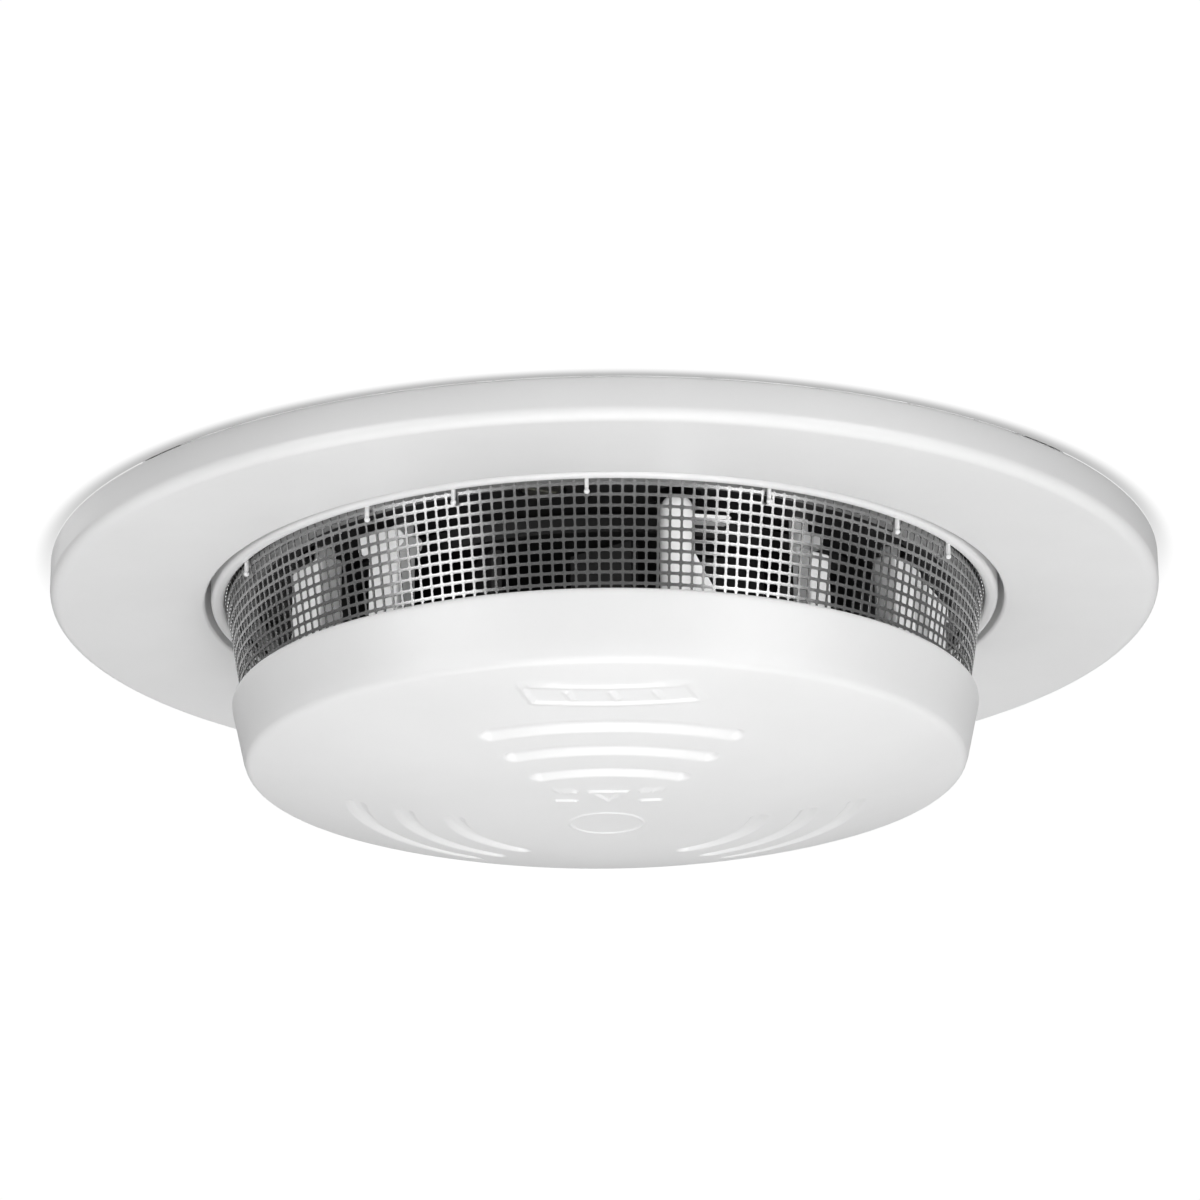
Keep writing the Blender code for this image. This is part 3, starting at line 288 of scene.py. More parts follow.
SCREEN_PAINT = brushed_metal("etched_screen", grey(0.34), grey(0.44), 0.2, (1, 1, 1), 5200.0, 0.000003)
STEEL_PAINT = brushed_metal("spring_steel", grey(0.42), grey(0.6), 0.3, (1, 12, 1))
ZINC_PAINT = brushed_metal("zinc_plate", (0.55, 0.55, 0.5), (0.72, 0.71, 0.66), 0.33, (1, 1, 1), 1500.0)
BRASS_PAINT = brushed_metal("bare_brass", (0.6, 0.42, 0.16), (0.76, 0.57, 0.27), 0.3)
COPPER_PAINT = Paint("enamelled_copper", 0.3, 1.0)
COPPER_PAINT.colour(COPPER_PAINT.waves(900.0), (0.3, 0.1, 0.03), (0.7, 0.32, 0.14), 0.1, 0.9)
COPPER_PAINT.relief(COPPER_PAINT.waves(900.0), 0.00006)
BOARD_PAINT = Paint("solder_mask", 0.4)
BOARD_PAINT.colour(BOARD_PAINT.noise(420.0, 2.0), (0.008, 0.085, 0.035), (0.018, 0.15, 0.06), 0.47, 0.53)
BOARD_PAINT.relief(BOARD_PAINT.noise(420.0, 2.0), 0.00003, 0.5)
SLEEVE_PAINT = Paint("shrink_sleeve", 0.32)
SLEEVE_PAINT.colour(SLEEVE_PAINT.noise(90.0, 3.0), (0.4, 0.43, 0.47), (0.5, 0.53, 0.57))
SLEEVE_PAINT.relief(SLEEVE_PAINT.noise(300.0, 2.0, (1, 4, 4)), 0.00003, 0.5)
RUBBER_PAINT = Paint("rubber", 0.75)
RUBBER_PAINT.colour(RUBBER_PAINT.noise(400.0, 4.0), grey(0.018), grey(0.04))
RUBBER_PAINT.relief(RUBBER_PAINT.noise(2400.0, 3.0), 0.00003, 0.7)
CLEAR_PAINT = Paint("clear_acrylic", 0.08)
CLEAR_PAINT.fixed(Transmission_Weight=0.85, IOR=1.49)
CLEAR_PAINT.colour(CLEAR_PAINT.noise(200.0), (0.88, 0.9, 0.9), (0.95, 0.96, 0.96))
CLEAR_PAINT.rough(CLEAR_PAINT.noise(600.0), 0.06, 0.16)
FROST_PAINT = Paint("frosted_acrylic", 0.15)
FROST_PAINT.fixed(Transmission_Weight=0.12, IOR=1.49)
FROST_PAINT.colour(FROST_PAINT.noise(300.0), grey(0.88), grey(0.94))
FROST_PAINT.rough(FROST_PAINT.noise(900.0), 0.08, 0.2)


# ---- cap ----
CAP_EDGE_R, CAP_EDGE_Z = 31.41, -17.55
DOME_RISE, DOME_POWER = 4.73, 2.265
CAP_THICK = 1.5
CAP_FILLET_AT, CAP_FILLET_R = (30.33, -16.84), 1.0
CAP_FILLET_FROM, CAP_FILLET_TO = -72.0, -12.8
CAP_WALL_R, CAP_WALL_AT, CAP_WALL_LEAN = 32.48, -12.1, 0.2267
CAP_WALL_LOW, CAP_WALL_TOP = -16.7, -12.4
CAP_RIM_R, CAP_RIM_INNER_R, CAP_RIM_Z, CAP_STEP_Z = 32.5, 32.0, -11.85, -13.9
GROOVE_RADII = (21.7, 17.55, 13.2)
GROOVE_SETS = (-88.5, 31.5, 151.5)
GROOVE_HALF_ANGLE = 30.0
GROOVE_HALF_WIDTH = 0.82
GROOVE_DEPTH = 0.46
GROOVE_SPREAD, GROOVE_SLOPE = 0.16, 0.75
RING_MARK_R, RING_MARK_HALF, RING_MARK_SHARE = 3.17, 0.24, 0.6
MARK_HEIGHT, MARK_SPREAD, MARK_SLOPE = 0.16, 0.1, 0.2
FRAME_HALF, TICK_HALF, SIGN_HALF = 0.22, 0.2, 0.24


def dome_z(r):
    return CAP_EDGE_Z - DOME_RISE * (1 - (r / CAP_EDGE_R) ** DOME_POWER)


def smooth(value):
    value = np.clip(value, 0.0, 1.0)
    return value * value * (3 - 2 * value)


def bar_distance(x, y, ax, ay, bx, by):
    """Distance from points to a straight stroke between a and b."""
    dx, dy = bx - ax, by - ay
    t = np.clip(((x - ax) * dx + (y - ay) * dy) / (dx * dx + dy * dy), 0, 1)
    return np.hypot(x - ax - t * dx, y - ay - t * dy)


def outline_strokes(corners, half):
    """The sides of a closed outline as strokes."""
    return [(*a, *b, half) for a, b in zip(corners, corners[1:] + corners[:1])]


def strokes():
    """Generic raised marks as straight strokes (ax, ay, bx, by, half width): a nameplate and a test sign."""
    left, right, near, far, slant = -7.0, 7.8, -27.6, -25.2, 1.1
    frame_corners = [(left, near), (right - slant, near), (right, far), (left + slant, far)]
    out = outline_strokes(frame_corners, FRAME_HALF)
    for x in (-3.2, 0.4, 4.0):
        out.append((x, -26.9, x + 0.5, -25.9, TICK_HALF))
    bar = 1.5
    for x in (-4.2, 3.0):
        for y in (-8.75, -6.5):
            out.append((x, y, x + bar, y, SIGN_HALF))
    return out + outline_strokes([(-1.35, -8.8), (1.65, -8.8), (0.15, -6.4)], SIGN_HALF)


def cap_relief(x, y):
    """Height in mm that the marks and grooves add to the dome, positive outwards."""
    r = np.hypot(x, y)
    angle = np.degrees(np.arctan2(y, x))
    height = np.zeros_like(r)
    for middle in GROOVE_SETS:
        off = (angle - middle + 180) % 360 - 180
        for radius in GROOVE_RADII:
            reach = GROOVE_HALF_ANGLE - np.degrees(GROOVE_HALF_WIDTH / radius)
            past = np.radians(np.maximum(np.abs(off) - reach, 0)) * radius
            distance = np.hypot(r - radius, past)
            height -= GROOVE_DEPTH * smooth((GROOVE_HALF_WIDTH + GROOVE_SPREAD - distance) / GROOVE_SLOPE)
    ring = np.abs(r - RING_MARK_R)
    raised = RING_MARK_SHARE * smooth((RING_MARK_HALF - ring) / MARK_SLOPE)
    for ax, ay, bx, by, half in strokes():
        distance = bar_distance(x, y, ax, ay, bx, by)
        raised = np.maximum(raised, smooth((half + MARK_SPREAD - distance) / MARK_SLOPE))
    return height + MARK_HEIGHT * raised


def graded(stops):
    """Radii from pairs of (end radius, step), starting at the first end."""
    out = [stops[0][0]]
    for end, step in stops[1:]:
        count = max(1, round((end - out[-1]) / step))
        start = out[-1]
        out += [start + (end - start) * (k + 1) / count for k in range(count)]
    return out


def cap_outline():
    """The cap's profile from the dome's edge round the rim to the inside, as two lists: outer and inner."""
    fillet_r, fillet_z = CAP_FILLET_AT
    edge = [(fillet_r + CAP_FILLET_R * cos(radians(a)), fillet_z + CAP_FILLET_R * sin(radians(a)))
            for a in np.linspace(CAP_FILLET_FROM, CAP_FILLET_TO, 12)]
    wall = [(CAP_WALL_R - CAP_WALL_LEAN * (CAP_WALL_AT - z), z)
            for z in np.linspace(CAP_WALL_LOW, CAP_WALL_TOP, 9)]
    rim = rounded([(32.41, CAP_WALL_TOP, 0), (CAP_RIM_R, CAP_RIM_Z, 0.25), (CAP_RIM_INNER_R, CAP_RIM_Z, 0.15),
                   (CAP_RIM_INNER_R, CAP_STEP_Z, 0.0)], 4, False)
    inside = [(31.4, CAP_STEP_Z), (30.9, -15.4), (30.2, -16.0)]
    inner = [(r, dome_z(r) + CAP_THICK) for r in (28, 24, 18, 12, 6)]
    return edge + wall + rim[1:], inside + inner


def make_cap():
    """The domed cap as one closed shell: outside with its relief, leaning wall, rim and plain inside."""
    segments = 720
    turn = np.radians(np.arange(segments) * 360.0 / segments)
    outer, inner = cap_outline()
    # rings lie closest where the ring mark, the test sign, the grooves and the nameplate are
    stops = [(0.5, 1), (2.7, 0.5), (3.8, 0.085), (5.8, 0.4), (9.4, 0.11), (11.9, 0.5), (14.4, 0.12),
             (16.3, 0.4), (18.8, 0.12), (20.4, 0.4), (22.9, 0.12), (24.6, 0.4), (28.2, 0.12),
             (outer[0][0], 0.5)]
    radii = graded(stops)
    verts, faces = [(0.0, 0.0, dome_z(0.0))], []
    grid = []
    for r in radii[:-1]:
        x, y = r * np.cos(turn), r * np.sin(turn)
        z = dome_z(r) - cap_relief(x, y)
        grid.append(len(verts))
        verts.extend(zip(x.tolist(), y.tolist(), z.tolist()))
    for r, z in outer + inner:
        grid.append(len(verts))
        verts.extend((r * cos(a), r * sin(a), z) for a in turn)
    centre_in = len(verts)
    verts.append((0.0, 0.0, dome_z(0.0) + CAP_THICK))
    for k in range(segments):
        n = (k + 1) % segments
        faces.append((0, grid[0] + n, grid[0] + k))
        faces.append((centre_in, grid[-1] + k, grid[-1] + n))
        for a, b in zip(grid, grid[1:]):
            faces.append((a + k, a + n, b + n, b + k))
    shape = Shape()
    shape.add(verts, faces)
    shape.build("cap_shell", CAP_PAINT.material, "cap", ["cap"], sharp=50.0)


LEG_NAMES = ("cap_leg_left", "cap_leg_right", "cap_leg_back")
LEG_ANGLES = (-150.0, -27.5, 90.0)
LEG_AT_R, LEG_SIZE, LEG_MIDDLE = 28.1, (2.2, 5.4, 13.6), -10.2
STEP_AT_R, STEP_ANGLE, STEP_THICK = 29.5, -19.6, 1.4
STEP_TOP, STEP_SHOULDER, STEP_FOOT = -5.3, -6.6, -15.8
STEM_AT_R, STEM_SIZE, STEM_MIDDLE = 27.4, (1.2, 1.8, 8.6), 0.3
BARB_SIZE, BARB_MIDDLE = (1.2, 4.2, 1.0), 0.5
SPRING_SEAT_R, SPRING_SEAT_TOP, SPRING_SEAT_LOW = 2.4, 5.0, 4.2
SWITCH_ANGLE, PIN_R, PIN_TOP, PIN_FOOT = 165.0, 1.4, -4.7, -17.6
PIPE_AT_R, PIPE_ANGLE = 27.9, -77.6
SOCKET_R, SOCKET_BORE_R, SOCKET_TOP, SOCKET_FOOT = 2.5, 2.1, -15.4, -17.3


def make_cap_legs():
    """Guide legs, stems with barbs and spring seats, the switch pin and the light pipe's socket."""
    shape = Shape()
    for name, angle in zip(LEG_NAMES, LEG_ANGLES):
        leg = Shape()
        leg.block(LEG_SIZE, polar(LEG_AT_R, angle, LEG_MIDDLE), angle, 0.3, 3)
        if name == "cap_leg_right":
            step = [(-3.2, STEP_TOP), (3.3, STEP_TOP), (3.45, STEP_TOP - 0.15), (3.45, STEP_SHOULDER),
                    (2.3, STEP_SHOULDER - 0.3), (2.3, STEP_FOOT), (-3.2, STEP_FOOT)]
            leg.prism(step, STEP_THICK, polar(STEP_AT_R, STEP_ANGLE), STEP_ANGLE)
        leg.build(name, INNER_PAINT.material, "cap", ["cap"])
        shape.block(STEM_SIZE, polar(STEM_AT_R, angle, STEM_MIDDLE), angle, 0.2)
        shape.block(BARB_SIZE, polar(LEG_AT_R, angle, BARB_MIDDLE), angle, 0.25)
        seat = rounded([(0, SPRING_SEAT_TOP, 0), (SPRING_SEAT_R, SPRING_SEAT_TOP, 0.25),
                        (SPRING_SEAT_R, SPRING_SEAT_LOW, 0.15), (0, SPRING_SEAT_LOW, 0)], 3, False)
        shape.lathe(seat, 40, False, Matrix.Translation(polar(LEG_AT_R, angle)))
    pin = rounded([(0, PIN_TOP, 0), (PIN_R, PIN_TOP, 0.4), (PIN_R, PIN_FOOT, 0), (0, PIN_FOOT, 0)], 4, False)
    shape.lathe(pin, 40, False, Matrix.Translation(polar(STEM_AT_R, SWITCH_ANGLE)))
    socket = rounded([(SOCKET_R, SOCKET_TOP, 0.1), (SOCKET_R, SOCKET_FOOT, 0),
                      (SOCKET_BORE_R, SOCKET_FOOT, 0), (SOCKET_BORE_R, SOCKET_TOP, 0.1)], 2)
    shape.lathe(socket, 40, True, Matrix.Translation(polar(PIPE_AT_R, PIPE_ANGLE)))
    shape.build("cap_stems", INNER_PAINT.material, "cap", ["cap"])


def make_light_pipe():
    """A frosted rod with a domed end, a shelf and a buttress beside it."""
    profile = [(0, -2.1), (0.45, -2.17), (0.9, -2.43), (1.22, -2.85), (1.4, -3.4), (1.45, -4.2),
               (1.45, -12.6), (1.8, -13.4), (1.8, -16.5), (1.6, -16.7), (0, -16.7)]
    shape = Shape()
    shape.lathe(profile, 48, False, Matrix.Translation(polar(PIPE_AT_R, PIPE_ANGLE)))
    shelf = [(1.2, -4.0), (4.2, -4.0), (4.4, -4.15), (4.2, -4.3), (1.2, -4.3)]
    shape.prism(shelf, 1.8, polar(PIPE_AT_R, PIPE_ANGLE), PIPE_ANGLE)
    buttress = [(1.0, -7.4), (1.35, -7.3), (2.0, -8.6), (2.9, -10.2), (4.0, -12.9), (1.0, -12.9)]
    shape.prism(buttress, 1.2, polar(PIPE_AT_R, PIPE_ANGLE), PIPE_ANGLE)
    shape.build("light_pipe_rod", FROST_PAINT.material, "cap", ["light_pipe"], sharp=40.0)


# ---- sounder ----
# name, angle, width, and whether the post has a wide head
POSTS = (
    ("sounder_post_left", -128.8, 3.3, True), ("sounder_post_right", -52.4, 2.3, False),
    ("sounder_post_back_left", 128.8, 3.3, True), ("sounder_post_back_right", 52.4, 2.3, False),
)
POST_AT_R, POST_DEEP = 28.1, 2.3
FOOT_AT_R, FOOT_MIDDLE, FOOT_EXTRA = 27.3, -13.1, 2.4
NECK_AT_R, NECK_SIZE = 26.6, (1.0, 1.4, 4.6)
CUP_RIB_AT_R, CUP_RIB_SIZE, CUP_RIBS = 21.0, (9.6, 0.8, 0.8), 12


def make_sounder():
    """The sounder's cup and plate, and the posts that carry it under the chassis."""
    shape = Shape()
    cup = rounded([(26.2, -12.6, 0.2), (26.2, -13.6, 0.3), (16.0, -13.6, 0.4), (16.0, -16.4, 0.3),
                   (14.4, -16.4, 0.2), (14.4, -13.6, 0.3), (4.0, -13.6, 0.2), (4.0, -12.6, 0.2)], 3)
    shape.lathe(cup, 128, True)
    for i in range(CUP_RIBS):
        angle = 15.0 + 30.0 * i
        shape.block(CUP_RIB_SIZE, polar(CUP_RIB_AT_R, angle, -12.5), angle, 0.15)
    for name, angle, width, wide_head in POSTS:
        shape.block((4.4, width + FOOT_EXTRA, 1.0), polar(FOOT_AT_R, angle, FOOT_MIDDLE), angle, 0.25, 3)
        post = Shape()
        if wide_head:
            post.block((POST_DEEP, width, 8.2), polar(POST_AT_R, angle, -9.2), angle, 0.25, 3)
            head = [(-2.7, -3.25), (1.0, -3.5), (1.9, -3.75), (2.3, -4.2), (2.3, -4.9), (1.6, -5.5),
                    (-1.6, -5.5), (-2.7, -4.7)]
            post.prism(head, POST_DEEP, polar(POST_AT_R, angle), angle)
            shape.block(NECK_SIZE, polar(NECK_AT_R, angle, -3.7), angle, 0.15)
        else:
            post.block((POST_DEEP, width, 7.3), polar(POST_AT_R, angle, -9.45), angle, 0.25, 3)
            shape.block(NECK_SIZE, polar(NECK_AT_R, angle, -3.6), angle, 0.15)
            shape.block((1.4, 2.6, 1.1), polar(FOOT_AT_R, angle + 0.5, -4.3), angle, 0.2, 3)
        post.build(name, INNER_PAINT.material, "head", ["sounder_housing"])
    shape.build("sounder_body", INNER_PAINT.material, "head", ["sounder_housing"])


# ---- insect screen ----
SCREEN_COLUMNS, SCREEN_ROWS, SCREEN_SHIFT = 212, 11, 0.59
SCREEN_R, SCREEN_LEAN, SCREEN_SHEET = 33.25, 0.1777, 0.1
SCREEN_TOP, MESH_TOP, MESH_PITCH = -0.8, -2.29, 0.895
# half width, half height and corner of a hole, as shares of the mesh's pitch
HOLE_HALF_U, HOLE_HALF_V, HOLE_CORNER = 0.4, 0.37, 0.1


def make_screen():
    """The etched sheet: a plain collar above and a cone below, pierced by a mesh with cut corners."""
    columns, rows = SCREEN_COLUMNS, SCREEN_ROWS
    verts, faces = [], []

    def at(u, v, depth):
        a = 2 * pi * (u + SCREEN_SHIFT) / columns
        r = SCREEN_R - SCREEN_LEAN * MESH_PITCH * v - depth
        return (r * cos(a), r * sin(a), MESH_TOP - MESH_PITCH * v)

    corners = {}
    for side in (0, 1):
        for j in range(rows + 1):
            for i in range(columns):
                corners[side, i, j] = len(verts)
                verts.append(at(i, j, side * SCREEN_SHEET))
    u, v, corner = HOLE_HALF_U, HOLE_HALF_V, HOLE_CORNER
    outline = [(corner - u, -v), (u - corner, -v), (u, corner - v), (u, v - corner),
               (u - corner, v), (corner - u, v), (-u, v - corner), (-u, corner - v)]
    for i in range(columns):
        for j in range(rows):
            loops = []
            n = (i + 1) % columns
            for side in (0, 1):
                loop = list(range(len(verts), len(verts) + 8))
                verts.extend(at(i + 0.5 + du, j + 0.5 + dv, side * SCREEN_SHEET) for du, dv in outline)
                loops.append(loop)
                c = [corners[side, i, j], corners[side, n, j],
                     corners[side, n, j + 1], corners[side, i, j + 1]]
                for k in range(4):
                    a, b, d = loop[2 * k], loop[2 * k + 1], loop[(2 * k + 2) % 8]
                    faces.append((c[k], c[(k + 1) % 4], b, a))
                    faces.append((c[(k + 1) % 4], d, b))
            for k in range(8):
                m = (k + 1) % 8
                faces.append((loops[0][k], loops[0][m], loops[1][m], loops[1][k]))
    rings = []
    for r in (SCREEN_R, SCREEN_R - SCREEN_SHEET):
        rings.append(len(verts))
        verts.extend((*polar(r, 360.0 * (k + SCREEN_SHIFT) / columns).xy, SCREEN_TOP) for k in range(columns))
    for k in range(columns):
        n = (k + 1) % columns
        faces.append((corners[0, k, 0], corners[0, n, 0], rings[0] + n, rings[0] + k))
        faces.append((rings[0] + k, rings[0] + n, rings[1] + n, rings[1] + k))
        faces.append((rings[1] + k, rings[1] + n, corners[1, n, 0], corners[1, k, 0]))
        faces.append((corners[0, k, rows], corners[0, n, rows],
                      corners[1, n, rows], corners[1, k, rows]))
    shape = Shape()
    shape.add(verts, faces)
    screen = shape.build("screen_mesh", SCREEN_PAINT.material, "head", ["insect_screen"],
                         sharp=30.0)
    screen.visible_shadow = False


# ---- alarm base ----
PEG_ANGLES = (-155.3, -125.5, -111.4, -92.3, -66.2, -43.2, -29.7,
              19.0, 41.0, 63.0, 82.0, 104.0, 127.0, 149.0)
PEG_AT_R, PEG_SIZE, PEG_MIDDLE = 33.4, (0.34, 0.32, 1.2), -3.2
PEG_BEAD_R, PEG_BEAD_Z = 0.24, -3.98
BASE_R, BASE_TOP, BASE_LIP = 34.48, 24.9, -3.0
FOOT_ANGLES, BAYONET_AT_R = (90.0, 210.0, 330.0), 18.0
BAYONET_NECK, BAYONET_NECK_Z = (1.4, 4.0, 4.4), 26.0
BAYONET_FOOT, BAYONET_FOOT_Z = (4.6, 4.4, 1.2), 28.1
BACK_RIB, BACK_RIB_AT_R = (9.0, 0.8, 0.35), 26.5


def make_base():
    """The deep cup, its lip with the pegs that hold the screen, and the bayonet feet on its back."""
    shape = Shape()
    cup = rounded([
        (0, BASE_TOP, 0), (BASE_R, BASE_TOP, 1.0), (BASE_R, BASE_LIP, 0.5), (33.3, BASE_LIP, 0.5),
        (33.32, 22.9, 0.5), (0, 22.9, 0),
    ], 8, False)
    shape.lathe(cup, 256, False)
    bead = [(PEG_BEAD_R * cos(radians(a)), PEG_BEAD_Z + PEG_BEAD_R * sin(radians(a)))
            for a in range(90, -91, -15)]
    for angle in PEG_ANGLES:
        shape.block(PEG_SIZE, polar(PEG_AT_R, angle, PEG_MIDDLE), angle, 0.1, 3)
        shape.lathe([(0.0, bead[0][1])] + bead[1:-1] + [(0.0, bead[-1][1])], 16, False,
                    Matrix.Translation(polar(PEG_AT_R, angle)))
    for angle in FOOT_ANGLES:
        shape.block(BAYONET_NECK, polar(BAYONET_AT_R, angle, BAYONET_NECK_Z), angle, 0.15)
        shape.block(BAYONET_FOOT, polar(BAYONET_AT_R, angle, BAYONET_FOOT_Z), angle, 0.3, 3)
    for angle in range(15, 360, 30):
        shape.block(BACK_RIB, polar(BACK_RIB_AT_R, angle, 24.95), angle, 0.12)
    back_ring = rounded([(12.2, 25.15, 0.1), (12.2, 24.8, 0), (11.6, 24.8, 0), (11.6, 25.15, 0.1)], 2)
    shape.lathe(back_ring, 96, True)
    shape.build("base_cup", BASE_PAINT.material, "head", ["alarm_base"])
    # painted shade: the seat ring is dark grey for the screen's shadow, not for its own colour
    seat = rounded([(32.8, -2.25, 0.05), (32.8, -2.45, 0.05), (30.6, -2.45, 0.05), (30.6, -2.25, 0.05)], 1)
    ring = Shape()
    ring.lathe(seat, 192, True)
    ring.build("screen_seat", SEAT_SHADED_PAINT.material, "head", ["alarm_base"])


# ---- recess housing ----
HOLE_R, CAN_R, FLANGE_R = 35.0, 36.6, 48.4
FLANGE_DROP, HOLE_DROP = 3.45, 3.0
SKIRT_R, FLANGE_BACK = 46.8, -1.85
CAN_TOP, LEDGE_LOW, LEDGE_R = 29.2, 27.4, 24.0
LEDGE_SCREW_R, LEDGE_SCREW_ANGLES = 28.5, (30, 150, 270)
CAN_RIB, CAN_RIB_MIDDLE = (1.2, 1.4, 27.5), 13.9
FLANGE_RIB, FLANGE_RIB_AT_R, FLANGE_RIB_MIDDLE = (10.6, 1.0, 1.55), 41.7, -1.0
CLIP_AT_X, CLIP_AT_Z = 39.6, 14.5
EAR_SIZE, EAR_OUT, EAR_Y = (5.9, 1.6, 6.6), 1.95, 5.5
BOSS_R, BOSS_HALF = 1.9, 0.95
CLIP_BORE_R, CLIP_BORE_HALF = 1.2, 9.0


def make_housing():
    """The trim flange, the can behind it with its ledge, the ribs, and the ears of the clips."""
    shape = Shape()
    profile = rounded([
        (CAN_R, CAN_TOP, 0.4), (CAN_R, FLANGE_BACK, 0.4), (SKIRT_R, FLANGE_BACK, 0.4), (SKIRT_R, 0, 0.12),
        (FLANGE_R, 0, 0.15), (FLANGE_R, -FLANGE_DROP, 1.0), (HOLE_R, -HOLE_DROP, 0.3),
        (HOLE_R, LEDGE_LOW, 0.3), (LEDGE_R, LEDGE_LOW, 0.15), (LEDGE_R, CAN_TOP, 0.3),
    ], 9)
    shape.lathe(profile, 320, True)
    body = shape.build("housing_shell", TRIM_PAINT.material, "mount", ["recess_housing"],
                       sharp=40.0)
    for angle in LEDGE_SCREW_ANGLES:
        for radius, low in ((1.5, 26.0), (2.7, 28.6)):
            carve(body, round_cutter(radius, low, 31.0, polar(LEDGE_SCREW_R, angle)))

    ribs = Shape()
    for angle in range(0, 360, 15):
        if angle % 180 > 15 and angle % 180 < 165:
            ribs.block(CAN_RIB, polar(CAN_R + 0.3, angle, CAN_RIB_MIDDLE), angle, 0.35, 3)
        at = polar(FLANGE_RIB_AT_R, angle + 7.5, FLANGE_RIB_MIDDLE)
        ribs.block(FLANGE_RIB, at, angle + 7.5, 0.2)
    bead = rounded([(37.6, 22.3, 0.3), (37.6, 20.9, 0.3), (36.4, 20.9, 0), (36.4, 22.3, 0)], 3)
    ribs.lathe(bead, 192, True)
    ribs.build("housing_ribs", TRIM_PAINT.material, "mount", ["recess_housing"])

    for side, sign in (("right", 1), ("left", -1)):
        ears = Shape()
        for y in (-EAR_Y, EAR_Y):
            ears.block(EAR_SIZE, (sign * (CAN_R + EAR_OUT), y, CLIP_AT_Z), 0, 0.35, 3)
            boss = rounded([(0, BOSS_HALF, 0), (BOSS_R, BOSS_HALF, 0.2), (BOSS_R, -BOSS_HALF, 0.2),
                            (0, -BOSS_HALF, 0)], 2, False)
            turn = Matrix.Translation((sign * CLIP_AT_X, y, CLIP_AT_Z)) @ Matrix.Rotation(radians(90), 4, "X")
            ears.lathe(boss, 40, False, turn)
        ear = ears.build(f"housing_ears_{side}", TRIM_PAINT.material, "mount", ["recess_housing"])
        union_parts(ear)
        bore = round_cutter(CLIP_BORE_R, -CLIP_BORE_HALF, CLIP_BORE_HALF, (0, 0, 0))
        pivot = Matrix.Translation((sign * CLIP_AT_X * MM, 0, CLIP_AT_Z * MM))
        bore.matrix_world = pivot @ Matrix.Rotation(radians(90), 4, "X")
        carve(ear, bore)


def round_cutter(radius, low, high, at):
    shape = Shape()
    shape.lathe([(0, high), (radius, high), (radius, low), (0, low)], 40, False)
    obj = add_object("cutter", shape.mesh("cutter"))
    obj.location = Vector(at) * MM
    return obj


def bake_modifiers(obj):
    """Replaces an object's mesh by its evaluated one."""
    bpy.context.view_layer.update()
    graph = bpy.context.evaluated_depsgraph_get()
    made = bpy.data.meshes.new_from_object(obj.evaluated_get(graph), depsgraph=graph)
    obj.modifiers.clear()
    obj.data = made


def carve(obj, cutter):
    modifier = obj.modifiers.new("carve", "BOOLEAN")
    modifier.operation = "DIFFERENCE"
    modifier.solver = "EXACT"
    modifier.object = cutter
    bake_modifiers(obj)
    bpy.data.objects.remove(cutter, do_unlink=True)


def union_parts(obj):
    """Joins a mesh's overlapping shells into one surface."""
    modifier = obj.modifiers.new("own", "BOOLEAN")
    modifier.operation = "UNION"
    modifier.solver = "EXACT"
    modifier.use_self = True
    empty = add_object("own_other", bpy.data.meshes.new("own_other"))
    modifier.object = empty
    bake_modifiers(obj)
    bpy.data.objects.remove(empty, do_unlink=True)


# ---- carried-over CAD nodes ----
def soften(name, width):
    """Rounds a CAD node's sharp edges."""
    node = NODES[name]
    bevel = node.modifiers.new("edges", "BEVEL")
    bevel.width = width * MM
    bevel.segments = 2
    bevel.limit_method = "ANGLE"
    bevel.angle_limit = radians(40)


def dress_cad_nodes():
    paints = {
        "mounting_plate": PLATE_PAINT, "chassis": BLACK_PAINT, "chamber_base": BLACK_PAINT,
        "chamber_cover": BLACK_PAINT, "labyrinth": BLACK_PAINT, "battery_cradle": BLACK_PAINT,
        "sounder_lid": INNER_PAINT, "switch_plunger": INNER_PAINT,
        "circuit_board": BOARD_PAINT, "battery": SLEEVE_PAINT, "capacitor": SLEEVE_PAINT,
        "microcontroller": CHIP_PAINT, "test_switch": CHIP_PAINT, "infrared_lamp": CHIP_PAINT,
        "photodiode": CHIP_PAINT, "horn_coil": COPPER_PAINT, "piezo_disc": BRASS_PAINT,
        "status_lamp": CLEAR_PAINT, "battery_contact_plus": STEEL_PAINT, "battery_contact_minus": STEEL_PAINT,
    }
    for side in ("left", "right"):
        paints[f"clip_pin_{side}"] = ZINC_PAINT
        paints[f"clip_arm_{side}"] = STEEL_PAINT
        paints[f"clip_pad_{side}"] = RUBBER_PAINT
        paints[f"clip_spring_{side}"] = STEEL_PAINT
    for i in (1, 2, 3):
        paints[f"plate_screw_{i}"] = ZINC_PAINT
        paints[f"board_screw_{i}"] = ZINC_PAINT
        paints[f"cap_spring_{i}"] = STEEL_PAINT
    for name, paint in paints.items():
        data = NODES[name].data
        data.materials.clear()
        data.materials.append(paint.material)
        data.shade_smooth()
        data.set_sharp_from_angle(angle=radians(32))
    for name in ("mounting_plate", "battery_cradle", "test_switch", "microcontroller"):
        soften(name, 0.2)


# ---- stage ----
STAGE_HOLE_R, CEILING_R = 0.04842, 1.6
FLOOR_Z, FLOOR_R = -0.45, 6.0
SHADOW_REACH, SHADOW_LEVEL = 1.8 * MM, 0.55
CEILING_LEVEL, BOUNCE_LEVEL = 1.02, 0.43


